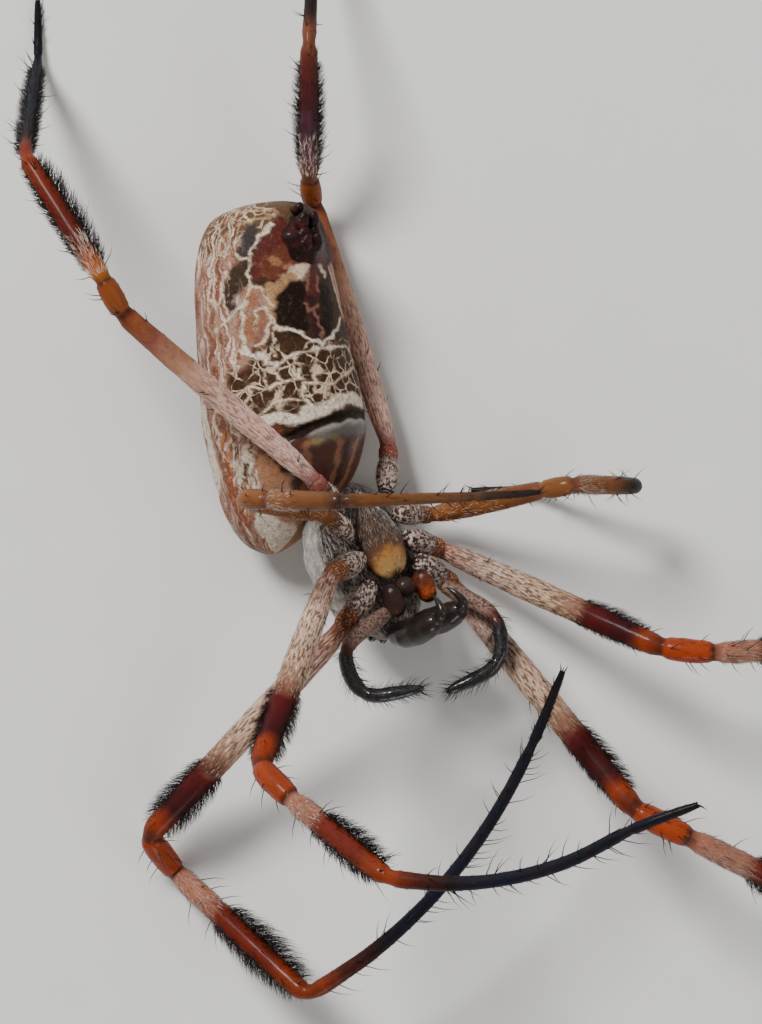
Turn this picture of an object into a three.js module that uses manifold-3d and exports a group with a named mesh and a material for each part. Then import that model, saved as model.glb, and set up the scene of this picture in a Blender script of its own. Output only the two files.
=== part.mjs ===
// Golden silk orb weaver, an adult female at life size, resting on its back and left flank.
// Millimetres, +Z up. The belly looks up, the head points to -Y and the spinnerets to +Y.
// The origin is the centre of the bounding box's underside.
import * as THREE from "three";
import { mergeVertices } from "three/addons/utils/BufferGeometryUtils.js";
import Module from "manifold-3d";

// Gaps
const GAP = 0.3;
const SEAT_GAP = 0.42;
const EYE_GAP = 0.25;

// Cephalothorax, in its own frame: x to the head, y to the right, z to the belly
const PROSOMA = {
  centre: new THREE.Vector3(0.19, -1.07, 4.7),
  heading: -65.8,
  roll: -45,
};
const CARAPACE = {
  rear: -3.0,
  front: 4.6,
  halfWidth: 3.0,
  headHalfWidth: 1.95,
  rim: -1.65,
  height: 2.6,
  keel: 0.2,
  // Powers that fill the oval out at the head and at the rear, and how much broader the blunt head is
  headPower: 0.55,
  rearPower: 0.85,
  headStart: 0.8,
  blunt: 0.15,
};
const PEDICEL = { radius: 0.5, length: 1.0, sunk: 0.6, drop: 0.45 };
const STERNUM = { rear: -2.3, front: 1.95, halfWidth: 1.32, top: 0.1, bottom: -1.1, bevel: 0.25 };
const LABIUM = { x: 2.62, z: -0.2, length: 0.38, halfWidth: 0.36, depth: 0.5 };
const MAXILLA = { x: 2.95, y: 1.12, z: -0.15, length: 0.78, halfWidth: 0.46, depth: 0.72 };
const CHELICERA = {
  x: 4.5,
  y: 0.84,
  top: -1.1,
  length: 3.0,
  radius: 0.68,
  fang: 1.1,
  fangRadius: 0.24,
  fangTip: 0.08,
};
const EYE_RADIUS = 0.24;
const EYES = [
  { name: "front_median", x: 4.4, y: 0.42 },
  { name: "rear_median", x: 3.8, y: 0.42 },
  { name: "front_side", x: 4.1, y: 1.25 },
  { name: "rear_side", x: 3.45, y: 1.45 },
];

// Abdomen, in its own frame: x to the front, y to the right, z to the belly
const ABDOMEN = {
  rear: new THREE.Vector3(-6.05, 14.35, 3.7),
  heading: -81.5,
  roll: -41.5,
  // Distance from the rear, radius, and how far the section lies towards the back
  stations: [
    [0.1, 1.3, -0.65],
    [0.5, 2.3, -0.6],
    [1.2, 2.8, -0.45],
    [2.2, 3.1, -0.3],
    [3.5, 3.3, -0.1],
    [5.4, 3.45, 0],
    [7.6, 3.62, 0],
    [9.8, 3.8, 0],
    [11.6, 3.66, 0.1],
    [13.0, 3.3, 0.45],
    [14.1, 2.75, 1.0],
    [15.2, 1.85, 1.7],
    [15.9, 1.05, 2.05],
  ],
  length: 16.3,
  tipShift: 2.15,
};
const SPINNERETS = {
  x: 2.1,
  belly: 3.15,
  radius: 1.15,
  topRadius: 0.8,
  height: 0.75,
  cone: 0.36,
  coneTip: 0.12,
  coneLength: 1.0,
  spread: 0.5,
  lean: 50,
};

// Legs: the length of each segment, the same on both sides, and girth
const SEGMENTS = ["coxa", "femur", "patella", "tibia", "metatarsus", "tarsus"];
const PAIRS = [
  { coxa: 2.7, femur: 14.2, patella: 2.8, tibia: 9.6, metatarsus: 16.0, tarsus: 3.7, girth: 1 },
  { coxa: 2.65, femur: 12.2, patella: 2.4, tibia: 6.8, metatarsus: 11.6, tarsus: 3.0, girth: 0.95 },
  { coxa: 2.5, femur: 7.0, patella: 1.7, tibia: 4.2, metatarsus: 6.2, tarsus: 3.0, girth: 0.8 },
  { coxa: 2.6, femur: 12.1, patella: 1.8, tibia: 7.1, metatarsus: 11.5, tarsus: 2.8, girth: 0.86 },
];
const COXA_ROOT = { x: [1.75, 0.55, -0.65, -1.85], y: 1.7, z: -0.45 };
const FOOT_LEAST_GIRTH = 0.85;

// Radius at fractions of each segment's length, for a girth of 1
const PROFILES = {
  coxa: [[0, 0.42], [0.25, 0.6], [0.5, 0.6], [0.64, 0.5], [0.76, 0.54], [1, 0.5]],
  femur: [[0, 0.5], [0.14, 0.58], [0.4, 0.66], [0.75, 0.62], [0.93, 0.56], [1, 0.56]],
  patella: [[0, 0.56], [0.4, 0.6], [0.6, 0.58], [1, 0.5]],
  tibia: [[0, 0.5], [0.15, 0.55], [0.6, 0.56], [0.82, 0.52], [1, 0.46]],
  metatarsus: [
    [0, 0.4],
    [0.15, 0.4],
    [0.35, 0.33],
    [0.6, 0.31],
    [0.78, 0.28],
    [0.88, 0.27],
    [0.96, 0.22],
    [1, 0.14],
  ],
};

// Poses: azimuth and elevation in degrees of each segment, from coxa to tarsus, legs I to IV
const POSES = {
  left: [
    [[-122, 20], [-133, -18], [-56, -37], [-40, 30], [49, 10], [68, 10]],
    [[-154, 55], [-110, 44], [-42, 34], [-36, 42], [14, 28], [22, 15]],
    [[137, 52], [170, 58], [-3, 42], [-1, 38], [2, -22], [4, -10]],
    [[127, 42], [139, 21], [117, 30], [123, -16.5], [93, -60.8], [91, -6.3]],
  ],
  right: [
    [[-35, -40], [-51, 21], [-26, 12], [-27, -15], [-31, -14], [-30, -10]],
    [[-19, -50], [-24, 24], [-5, 8], [2, -14], [-12, -21.5], [-20, -7]],
    [[-1, -48], [13, 42], [10, 34], [-1, -38], [-178, -38], [180, -8]],
    [[86, -33], [107.5, -2], [98, 58], [89.5, 33], [88, -33.65], [89, -4]],
  ],
};

// How far each foot bows sideways, legs I to IV
const BOWS = { left: [-1.25, -1.0, 0, 0], right: [0, 0, 0, 0] };

// Brushes of black hair on two opposite edges of a limb: pair, segment, the stretch along it from the
// first root to the last tip, how far they stand out, and the number of locks on each edge. One that
// names a side is on that side alone
const BRUSHES = [
  { pair: 1, segment: "femur", from: 0.68, to: 0.95, height: 0.8, locks: 8 },
  { pair: 1, segment: "tibia", from: 0.36, to: 0.93, height: 1.2, locks: 9 },
  { pair: 2, segment: "femur", from: 0.66, to: 0.98, height: 0.8, locks: 7 },
  { pair: 2, segment: "tibia", from: 0.32, to: 0.93, height: 0.95, locks: 8 },
  { pair: 4, segment: "tibia", from: 0.12, to: 0.95, height: 0.9, locks: 10 },
  { pair: 4, segment: "metatarsus", side: "left", from: 0.04, to: 0.8, height: 0.45, locks: 11 },
];
const LOCK = {
  rootRadius: 0.27,
  flatness: 0.65,
  tipRadius: 0.07,
  sides: 4,
  sunk: 0.3,
  // Degrees
  lean: 48,
  leanSpread: 8,
  curl: 14,
  splay: 24,
  // Height at the brush's ends, as a share of its full height, and the random part of it
  endHeight: 0.62,
  unevenness: 0.24,
};

// Palps, from the root beside the maxilla
const PALP = {
  root: { x: 3.25, y: 2.0, z: 0.1 },
  lengths: { femur: 3.0, tibia: 2.1, tarsus: 2.8 },
  radii: { root: 0.4, femur: 0.36, knee: 0.33, tibia: 0.36, tarsus: 0.34, tip: 0.14 },
  left: { femur: [-136, 28], tibia: [-66, 15], tarsus: [5, 8] },
  right: { femur: [-32, 14], tibia: [-88, 12], tarsus: [-150, 5] },
};

const LIMB_SIDES = 8;
const BODY_SIDES = 24;

const COLOURS = {
  carapace: "#b9b3ad",
  sternum: "#4a2f20",
  labium: "#2b1a14",
  maxilla: "#b4501c",
  chelicera: "#15110f",
  eye: "#0d0b0b",
  abdomen: "#a98a72",
  spinnerets: "#4a2018",
  coxa: "#8d6a58",
  femur: "#a06a50",
  patella: "#a8401c",
  tibia: "#8c3218",
  metatarsus: "#231a20",
  shortLeg: "#9a5a30",
  palp: "#2a1c1a",
};

const wasm = await Module();
wasm.setup();

const radians = THREE.MathUtils.degToRad;

function frameOf({ heading, roll }, origin) {
  const frame = new THREE.Object3D();
  frame.rotation.set(radians(roll), 0, radians(heading), "ZYX");
  frame.position.copy(origin);
  frame.updateMatrix();
  return frame.matrix;
}

const prosomaFrame = frameOf(PROSOMA, PROSOMA.centre);
const abdomenFrame = frameOf(ABDOMEN, ABDOMEN.rear);

function prosomaPoint(x, y, z) {
  return new THREE.Vector3(x, y, z).applyMatrix4(prosomaFrame);
}

/** Unit vector at an azimuth and elevation in degrees. */
function pointing([azimuth, elevation]) {
  const flat = Math.cos(radians(elevation));
  return new THREE.Vector3(
    flat * Math.cos(radians(azimuth)),
    flat * Math.sin(radians(azimuth)),
    Math.sin(radians(elevation)),
  );
}

/** The solid inside a closed three.js geometry. */
function solidOf(geometry) {
  const bare = geometry.clone();
  bare.deleteAttribute("normal");
  bare.deleteAttribute("uv");
  const merged = mergeVertices(bare, 1e-4);
  return new wasm.Manifold(
    new wasm.Mesh({
      numProp: 3,
      vertProperties: new Float32Array(merged.attributes.position.array),
      triVerts: new Uint32Array(merged.index.array),
    }),
  );
}

/** The largest closed body of a solid, as a geometry. */
function geometryOf(solid) {
  const bodies = solid.decompose().sort((a, b) => b.volume() - a.volume());
  const { vertProperties, triVerts } = bodies[0].getMesh();
  const geometry = new THREE.BufferGeometry();
  geometry.setAttribute("position", new THREE.BufferAttribute(vertProperties, 3));
  geometry.setIndex(new THREE.BufferAttribute(triVerts, 1));
  geometry.computeVertexNormals();
  return geometry;
}

/** The ground below z = 0, which is cut from every part, so that what rests on it gets a small flat. */
const FLOOR = solidOf(new THREE.BoxGeometry(200, 200, 20).translate(0, 0, -10));

const spider = new THREE.Group();

function addNode(name, solid, colour, roughness) {
  const material = new THREE.MeshStandardMaterial({ color: colour, roughness, metalness: 0 });
  const mesh = new THREE.Mesh(geometryOf(solid.subtract(FLOOR)), material);
  mesh.name = name;
  spider.add(mesh);
}

/** Plane halfway round the bend at a joint, moved along its normal by the offset. */
function jointPlane(joint, before, after, offset) {
  const normal = before.clone().add(after).normalize();
  const point = joint.clone().addScaledVector(normal, offset);
  return new THREE.Plane().setFromNormalAndCoplanarPoint(normal, point);
}

/**
 * A round limb along a path. Stations are fractions of its length with radii, its ends lie on the planes
 * given, and it may be flattened across a normal.
 */
function limb(path, stations, startPlane, endPlane, sides = LIMB_SIDES, flat = null) {
  const outline = stations.map(([fraction, radius]) => new THREE.Vector2(radius, fraction));
  outline.unshift(new THREE.Vector2(0, 0));
  outline.push(new THREE.Vector2(0, 1));
  const geometry = new THREE.LatheGeometry(outline, sides);
  const position = geometry.attributes.position;
  const side = new THREE.Vector3();
  const place = new THREE.Vector3();
  const isUpright = Math.abs(path.getTangentAt(0).z) > 0.8;
  const reference = isUpright ? new THREE.Vector3(0, 1, 0) : new THREE.Vector3(0, 0, 1);
  for (let i = 0; i < position.count; i++) {
    const fraction = position.getY(i);
    const tangent = path.getTangentAt(fraction);
    const across = new THREE.Vector3().crossVectors(tangent, reference).normalize();
    const up = new THREE.Vector3().crossVectors(across, tangent);
    side.copy(across).multiplyScalar(position.getX(i)).addScaledVector(up, position.getZ(i));
    if (flat) {
      side.addScaledVector(flat.normal, (flat.flatness - 1) * side.dot(flat.normal));
    }
    place.copy(path.getPointAt(fraction)).add(side);
    const plane = fraction === 0 ? startPlane : fraction === 1 ? endPlane : null;
    if (plane) {
      place.addScaledVector(tangent, -plane.distanceToPoint(place) / plane.normal.dot(tangent));
    }
    position.setXYZ(i, place.x, place.y, place.z);
  }
  return outward(geometry);
}

/** The solid inside a closed geometry whose faces may all point in. */
function outward(geometry) {
  const solid = solidOf(geometry);
  if (solid.volume() > 0) {
    return solid;
  }
  const turned = geometry.clone();
  const index = turned.index.array;
  for (let i = 0; i < index.length; i += 3) {
    [index[i + 1], index[i + 2]] = [index[i + 2], index[i + 1]];
  }
  return solidOf(turned);
}

/** Repeatable random numbers from 0 to 1. */
function randomSource(seed) {
  let state = seed;
  return () => {
    state = (state * 16807) % 2147483647;
    return state / 2147483647;
  };
}

/** One flat, tapered lock of hair, rooted at a point, which leaves at one angle and bends to another. */
function lockSolid(root, away, along, length, jitter) {
  const { rootRadius, flatness, tipRadius, sides, lean, leanSpread, curl } = LOCK;
  const angle = radians(lean + leanSpread * jitter);
  const tipAngle = angle - radians(curl);
  const leaning = (turn) => {
    return along.clone().multiplyScalar(Math.cos(turn)).addScaledVector(away, Math.sin(turn));
  };
  const bend = root.clone().addScaledVector(leaning(angle), length / 2);
  const tip = bend.clone().addScaledVector(leaning(tipAngle), length / 2);
  const path = new THREE.QuadraticBezierCurve3(root, bend, tip);
  const outline = [[0, rootRadius], [0.5, rootRadius * 0.8], [0.8, rootRadius * 0.5], [1, tipRadius]];
  const flattened = new THREE.Vector3().crossVectors(along, away).normalize();
  return limb(path, outline, null, null, sides, { normal: flattened, flatness });
}

/** Two brushes of locks on opposite edges of a limb, lower at both ends, that lean towards the foot. */
function brushSolid(brush, path, radiusAt, across, seed) {
  const random = randomSource(seed);
  const { splay, sunk, lean, curl, endHeight, unevenness } = LOCK;
  const length = path.getLength();
  let solid = null;
  for (const edge of [-1, 1]) {
    for (let i = 0; i < brush.locks; i++) {
      const share = (i + 0.3 * random()) / (brush.locks - 0.7);
      const crown = endHeight + (1 - endHeight) * Math.sin(Math.PI * share);
      const height = brush.height * crown * (1 + unevenness * (random() - 0.5));
      const reach = (height + sunk) / Math.sin(radians(lean - curl / 2));
      const lastRoot = brush.to - (reach * Math.cos(radians(lean))) / length;
      const place = THREE.MathUtils.lerp(brush.from, lastRoot, share);
      const along = path.getTangentAt(place);
      const away = across.clone().multiplyScalar(edge);
      away.applyAxisAngle(along, radians(splay) * (i % 2 === 0 ? 1 : -1));
      const root = path.getPointAt(place).addScaledVector(away, radiusAt(place) - sunk);
      const piece = lockSolid(root, away, along, reach, random() - 0.5);
      solid = solid ? solid.add(piece) : piece;
    }
  }
  return solid;
}

/** Radius of a limb at a fraction of its length, from its stations. */
function radiusBetween(stations) {
  return (fraction) => {
    const next = Math.max(1, stations.findIndex(([place]) => place >= fraction));
    const [start, startRadius] = stations[next - 1];
    const [end, endRadius] = stations[next];
    return THREE.MathUtils.mapLinear(fraction, start, end, startRadius, endRadius);
  };
}

/** Carapace: an oval shield, narrower at the head, domed over a nearly flat underside. */
function carapaceGeometry(grow) {
  const { rear, front, halfWidth, headHalfWidth, rim, height, keel } = CARAPACE;
  const { headPower, rearPower, headStart, blunt } = CARAPACE;
  const middle = (rear + front) / 2;
  const halfLength = (front - rear) / 2 + grow;
  const geometry = new THREE.SphereGeometry(1, 20, 12);
  geometry.rotateZ(Math.PI / 2);
  const position = geometry.attributes.position;
  for (let i = 0; i < position.count; i++) {
    const along = position.getX(i);
    const fullness = Math.sign(along) * Math.abs(along) ** (along > 0 ? headPower : rearPower);
    const narrowing = THREE.MathUtils.smoothstep(fullness, 0, headStart);
    const width = THREE.MathUtils.lerp(halfWidth, headHalfWidth, narrowing) + grow;
    const broader = 1 + blunt * narrowing;
    const depth = position.getZ(i) < 0 ? height + grow : keel + grow;
    position.setXYZ(
      i,
      middle + halfLength * fullness,
      width * broader * position.getY(i),
      rim + position.getZ(i) * depth,
    );
  }
  return geometry;
}

/** Height of the carapace's top, in the cephalothorax frame, found by a ray. */
function carapaceTop(x, y) {
  const probe = new THREE.Mesh(carapaceGeometry(0), new THREE.MeshBasicMaterial({ side: THREE.DoubleSide }));
  const ray = new THREE.Raycaster(new THREE.Vector3(x, y, -20), new THREE.Vector3(0, 0, 1));
  return ray.intersectObject(probe)[0].point;
}

/** The stalk that joins carapace and abdomen, with room round it and past its end. */
function stalkSolid(room) {
  const { radius, length, sunk, drop } = PEDICEL;
  const whole = length + sunk + room;
  const stalk = new THREE.CylinderGeometry(radius + room, radius + room, whole, LIMB_SIDES);
  stalk.rotateZ(Math.PI / 2);
  stalk.translate(CARAPACE.rear + sunk - whole / 2, 0, CARAPACE.rim - drop);
  return solidOf(stalk.applyMatrix4(prosomaFrame));
}

function buildCarapace() {
  let solid = solidOf(carapaceGeometry(0).applyMatrix4(prosomaFrame)).add(stalkSolid(0));
  for (const centre of eyeCentres()) {
    const socket = new THREE.SphereGeometry(EYE_RADIUS + EYE_GAP, 8, 6).translate(...centre.toArray());
    solid = solid.subtract(solidOf(socket));
  }
  addNode("carapace", solid, COLOURS.carapace, 0.7);
}

/** Centres of the eight eyes on the front of the head, two rows of four. */
function eyeCentres() {
  return EYES.flatMap(({ x, y }) =>
    [-1, 1].map((side) => carapaceTop(x, side * y).applyMatrix4(prosomaFrame)),
  );
}

function buildEyes() {
  eyeCentres().forEach((centre, i) => {
    const side = i % 2 === 0 ? "left" : "right";
    const eye = new THREE.SphereGeometry(EYE_RADIUS, 8, 6).translate(...centre.toArray());
    addNode(`eye_${EYES[Math.floor(i / 2)].name}_${side}`, solidOf(eye), COLOURS.eye, 0.1);
  });
}

/** Sternum: a heart-shaped plate between the coxae, pointed at the rear. */
function buildSternum() {
  const { rear, front, halfWidth, top, bottom, bevel } = STERNUM;
  const shape = new THREE.Shape();
  shape.moveTo(rear, 0);
  shape.quadraticCurveTo(rear * 0.55, halfWidth * 0.95, front * 0.15, halfWidth);
  shape.quadraticCurveTo(front * 0.85, halfWidth, front, halfWidth * 0.45);
  shape.lineTo(front, -halfWidth * 0.45);
  shape.quadraticCurveTo(front * 0.85, -halfWidth, front * 0.15, -halfWidth);
  shape.quadraticCurveTo(rear * 0.55, -halfWidth * 0.95, rear, 0);
  const plate = new THREE.ExtrudeGeometry(shape, {
    depth: top - bottom - 2 * bevel,
    curveSegments: 5,
    bevelThickness: bevel,
    bevelSize: bevel,
    bevelOffset: -bevel,
    bevelSegments: 1,
  });
  plate.translate(0, 0, bottom + bevel);
  addNode("sternum", solidOf(plate.applyMatrix4(prosomaFrame)), COLOURS.sternum, 0.6);
}

function buildMouthparts() {
  const lip = new THREE.SphereGeometry(1, 10, 8).scale(LABIUM.length, LABIUM.halfWidth, LABIUM.depth);
  lip.translate(LABIUM.x, 0, LABIUM.z);
  addNode("labium", solidOf(lip.applyMatrix4(prosomaFrame)), COLOURS.labium, 0.5);
  for (const side of [-1, 1]) {
    const name = side < 0 ? "left" : "right";
    const blade = new THREE.SphereGeometry(1, 10, 8).scale(MAXILLA.length, MAXILLA.halfWidth, MAXILLA.depth);
    blade.translate(MAXILLA.x, side * MAXILLA.y, MAXILLA.z);
    addNode(`maxilla_${name}`, solidOf(blade.applyMatrix4(prosomaFrame)), COLOURS.maxilla, 0.45);
    addNode(`chelicera_${name}`, cheliceraSolid(side), COLOURS.chelicera, 0.25);
  }
}

/** A stout jaw that hangs from the head's front edge, with its fang folded in under the tip. */
function cheliceraSolid(side) {
  const { x, y, top, length, radius, fang, fangRadius, fangTip } = CHELICERA;
  const outline = [
    [0, 0],
    [0.5, 0],
    [0.92, 0.2],
    [1, 0.45],
    [0.86, 0.75],
    [0.5, 0.97],
    [0, 1],
  ].map(([across, down]) => new THREE.Vector2(across * radius, down * length));
  const jaw = new THREE.LatheGeometry(outline, 12).rotateX(Math.PI / 2).translate(x, side * y, top);
  const tip = new THREE.Vector3(x, side * y, top + length * 0.9);
  const hook = new THREE.QuadraticBezierCurve3(
    tip,
    tip.clone().add(new THREE.Vector3(0, -side * 0.1, fangRadius * 2)),
    tip.clone().add(new THREE.Vector3(-fang, -side * 0.3, 0.1)),
  );
  const hookSolid = limb(hook, [[0, fangRadius], [0.5, fangRadius * 0.8], [1, fangTip]], null, null, 6);
  return outward(jaw).add(hookSolid).transform([...prosomaFrame.elements]);
}

function buildPalps() {
  for (const sideName of ["left", "right"]) {
    const side = sideName === "left" ? -1 : 1;
    const pose = PALP[sideName];
    const joints = [prosomaPoint(PALP.root.x, side * PALP.root.y, PALP.root.z)];
    for (const segment of ["femur", "tibia", "tarsus"]) {
      joints.push(joints.at(-1).clone().addScaledVector(pointing(pose[segment]), PALP.lengths[segment]));
    }
    const { root, femur, knee, tibia, tarsus, tip } = PALP.radii;
    const path = new THREE.CatmullRomCurve3(joints, false, "centripetal");
    const stations = [
      [0, root * 0.8],
      [0.08, root],
      [0.2, femur],
      [0.36, knee],
      [0.5, tibia],
      [0.64, knee],
      [0.82, tarsus],
      [0.95, tarsus * 0.75],
      [1, tip],
    ];
    addNode(`palp_${sideName}`, limb(path, stations, null, null), COLOURS.palp, 0.35);
  }
}

/** Abdomen: a long barrel, blunt at the rear, whose front overhangs the carapace. */
function abdomenGeometry() {
  const outline = ABDOMEN.stations.map(([distance, radius]) => new THREE.Vector2(radius, distance));
  outline.unshift(new THREE.Vector2(0, 0));
  outline.push(new THREE.Vector2(0, ABDOMEN.length));
  const geometry = new THREE.LatheGeometry(outline, BODY_SIDES);
  geometry.rotateZ(-Math.PI / 2);
  const position = geometry.attributes.position;
  for (let i = 0; i < position.count; i++) {
    position.setZ(i, position.getZ(i) - backShift(position.getX(i)));
  }
  return geometry.applyMatrix4(abdomenFrame);
}

/** How far the abdomen's section at a distance from the rear lies towards the back. */
function backShift(distance) {
  const shifts = [[0, ABDOMEN.stations[0][2]], ...ABDOMEN.stations.map(([x, , shift]) => [x, shift])];
  shifts.push([ABDOMEN.length, ABDOMEN.tipShift]);
  const next = shifts.findIndex(([x]) => x >= distance - 1e-4);
  if (next <= 0) {
    return shifts[0][1];
  }
  const [x0, shift0] = shifts[next - 1];
  const [x1, shift1] = shifts[next];
  return THREE.MathUtils.lerp(shift0, shift1, (distance - x0) / (x1 - x0));
}

function buildAbdomen() {
  const body = outward(abdomenGeometry());
  const seat = solidOf(carapaceGeometry(SEAT_GAP).applyMatrix4(prosomaFrame));
  addNode("abdomen", body.subtract(seat).subtract(stalkSolid(GAP)), COLOURS.abdomen, 0.55);
  buildSpinnerets(body);
}

/** Spinnerets: a low mound on the belly near the rear, with six cones that lean back. */
function buildSpinnerets(body) {
  const { x, belly, radius, topRadius, height, cone, coneTip, coneLength, spread, lean } = SPINNERETS;
  const sunk = 1;
  const mound = new THREE.CylinderGeometry(topRadius, radius, height + sunk, 12);
  mound.rotateX(Math.PI / 2);
  mound.translate(x, 0, belly + GAP + (height - sunk) / 2);
  let solid = solidOf(mound);
  const coneSunk = 0.6;
  for (let row = -1; row <= 1; row++) {
    for (const side of [-1, 1]) {
      const spinneret = new THREE.CylinderGeometry(coneTip, cone, coneLength + coneSunk, 6);
      spinneret.translate(0, coneLength / 2, 0);
      spinneret.rotateX(Math.PI / 2);
      spinneret.rotateY(-radians(lean));
      spinneret.translate(x + row * spread, side * spread * 0.75, belly + GAP + height - 0.2);
      solid = solid.add(solidOf(spinneret));
    }
  }
  const bellyward = new THREE.Vector3(0, 0, 1).transformDirection(abdomenFrame).multiplyScalar(GAP);
  const room = body.add(body.translate(bellyward.toArray()));
  addNode("spinnerets", solid.transform([...abdomenFrame.elements]).subtract(room), COLOURS.spinnerets, 0.5);
}

/** One leg, five parts: the last is the slender foot, the metatarsus and the tarsus together. */
function buildLeg(side, pairIndex) {
  const pair = PAIRS[pairIndex];
  const directions = POSES[side][pairIndex].map(pointing);
  const rootSide = side === "left" ? -COXA_ROOT.y : COXA_ROOT.y;
  const joints = [prosomaPoint(COXA_ROOT.x[pairIndex], rootSide, COXA_ROOT.z)];
  directions.forEach((direction, i) => {
    joints.push(joints[i].clone().addScaledVector(direction, pair[SEGMENTS[i]]));
  });
  SEGMENTS.slice(0, 5).forEach((segment, i) => {
    const direction = directions[i];
    const isFoot = segment === "metatarsus";
    const path = isFoot
      ? footPath(joints, direction, BOWS[side][pairIndex])
      : new THREE.LineCurve3(joints[i], joints[i + 1]);
    const girth = isFoot ? Math.max(pair.girth, FOOT_LEAST_GIRTH) : pair.girth;
    const stations = PROFILES[segment].map(([fraction, radius]) => [fraction, radius * girth]);
    const startPlane = i === 0 ? null : jointPlane(joints[i], directions[i - 1], direction, GAP / 2);
    const endPlane = isFoot ? null : jointPlane(joints[i + 1], direction, directions[i + 1], -GAP / 2);
    let solid = limb(path, stations, startPlane, endPlane);
    const brush = BRUSHES.find((entry) => {
      const { pair: number, side: only = side } = entry;
      return number === pairIndex + 1 && entry.segment === segment && only === side;
    });
    if (brush) {
      const across = new THREE.Vector3(0, 0, 1).cross(direction).normalize();
      const seed = 100 * (pairIndex + 1) + 10 * i + (side === "left" ? 1 : 2);
      solid = solid.add(brushSolid(brush, path, radiusBetween(stations), across, seed));
    }
    const colour = pairIndex === 2 ? COLOURS.shortLeg : COLOURS[segment];
    addNode(`leg_${side}_${pairIndex + 1}_${segment}`, solid, colour, 0.4);
  });
}

/** Path of the metatarsus and tarsus together, which may bow to one side. */
function footPath(joints, direction, bow) {
  const [start, end, tip] = joints.slice(4);
  const sideways = new THREE.Vector3(0, 0, 1).cross(direction).normalize();
  const along = (fraction, offset) => start.clone().lerp(end, fraction).addScaledVector(sideways, offset);
  const points = [start, along(0.25, bow * 0.75), along(0.5, bow), along(0.75, bow * 0.75), end, tip];
  return new THREE.CatmullRomCurve3(points, false, "centripetal");
}

buildCarapace();
buildEyes();
buildSternum();
buildMouthparts();
buildPalps();
buildAbdomen();
for (const side of ["left", "right"]) {
  PAIRS.forEach((pair, pairIndex) => buildLeg(side, pairIndex));
}

const bounds = new THREE.Box3().setFromObject(spider);
const centre = bounds.getCenter(new THREE.Vector3());
spider.position.set(-centre.x, -centre.y, -bounds.min.z);

export default spider;
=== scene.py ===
"""Golden silk orb weaver, an adult female at life size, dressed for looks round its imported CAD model.

Sizes here are in millimetres and angles in degrees, in the frame of the model's source, until
`in_frame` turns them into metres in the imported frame.
"""

import math

import bmesh
import bpy
import numpy as np
from bpy.props import FloatProperty, FloatVectorProperty, IntProperty, PointerProperty
from mathutils import Matrix, Vector


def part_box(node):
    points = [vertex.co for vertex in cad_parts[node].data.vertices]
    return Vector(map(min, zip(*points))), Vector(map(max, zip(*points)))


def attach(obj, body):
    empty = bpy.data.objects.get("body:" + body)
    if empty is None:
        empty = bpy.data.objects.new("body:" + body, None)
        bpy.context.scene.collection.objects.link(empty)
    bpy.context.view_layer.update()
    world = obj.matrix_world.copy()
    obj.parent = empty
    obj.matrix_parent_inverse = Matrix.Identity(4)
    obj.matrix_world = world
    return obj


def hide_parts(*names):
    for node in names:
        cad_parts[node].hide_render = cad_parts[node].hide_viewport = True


bl_info = {
    "name": "Golden silk orb weaver",
    "version": (1, 0, 0),
    "blender": (4, 5, 0),
    "location": "3D View > Sidebar > Orb Weaver",
    "description": "Skins, hair and stage of a life-size orb weaver",
    "category": "Object",
}

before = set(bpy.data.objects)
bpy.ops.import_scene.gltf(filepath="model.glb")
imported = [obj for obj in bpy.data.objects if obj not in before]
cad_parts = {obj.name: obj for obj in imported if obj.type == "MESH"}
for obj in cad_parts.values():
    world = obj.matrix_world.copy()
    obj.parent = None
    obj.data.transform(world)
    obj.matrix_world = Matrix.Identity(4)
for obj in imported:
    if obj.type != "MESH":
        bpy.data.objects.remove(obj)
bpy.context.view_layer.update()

MM = 0.001

# Cephalothorax: x to the head, y to the right, z to the belly
PROSOMA = {"centre": (0.19, -1.07, 4.7), "heading": -65.8, "roll": -45.0}
CARAPACE = {"rear": -3.0, "front": 4.6, "half_width": 3.0, "head_half_width": 1.95, "rim": -1.65}
CARAPACE_HEIGHT = 2.6
CARAPACE_KEEL = 0.2
STERNUM = {"rear": -2.3, "front": 1.95, "half_width": 1.32, "top": 0.1, "bottom": -1.1}
# Middles of the lip and of the right mouth plate
LABIUM = (2.62, 0.0, -0.2)
MAXILLA = (2.95, 1.12, -0.15)
CHELICERA = {"x": 4.5, "y": 0.84, "top": -1.1, "length": 3.0}
STALK_DROP = 0.45
EYES = ("front_median", "rear_median", "front_side", "rear_side")
EYE_RADIUS = 0.22
EYE_PROUD = 0.04

# Abdomen: x to the front, y to the right, z to the belly
ABDOMEN = {"rear": (-6.05, 14.35, 3.7), "heading": -81.5, "roll": -41.5}
# Distance from the rear, radius, and how far the section lies towards the back
ABDOMEN_STATIONS = [
    (0.0, 0.0, -0.65),
    (0.1, 1.3, -0.65),
    (0.5, 2.3, -0.6),
    (1.2, 2.8, -0.45),
    (2.2, 3.1, -0.3),
    (3.5, 3.3, -0.1),
    (5.4, 3.45, 0.0),
    (7.6, 3.62, 0.0),
    (9.8, 3.8, 0.0),
    (11.6, 3.66, 0.1),
    (13.0, 3.3, 0.45),
    (14.1, 2.75, 1.0),
    (15.2, 1.85, 1.7),
    (15.9, 1.05, 2.05),
    (16.3, 0.0, 2.15),
]
SPINNERETS = {"x": 2.1, "belly": 3.15, "radius": 1.15, "height": 0.75}
SPINNERET_CONE = {"length": 1.0, "spread": 0.5, "lean": 50.0}

SEGMENTS = ("coxa", "femur", "patella", "tibia", "metatarsus", "tarsus")
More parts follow.
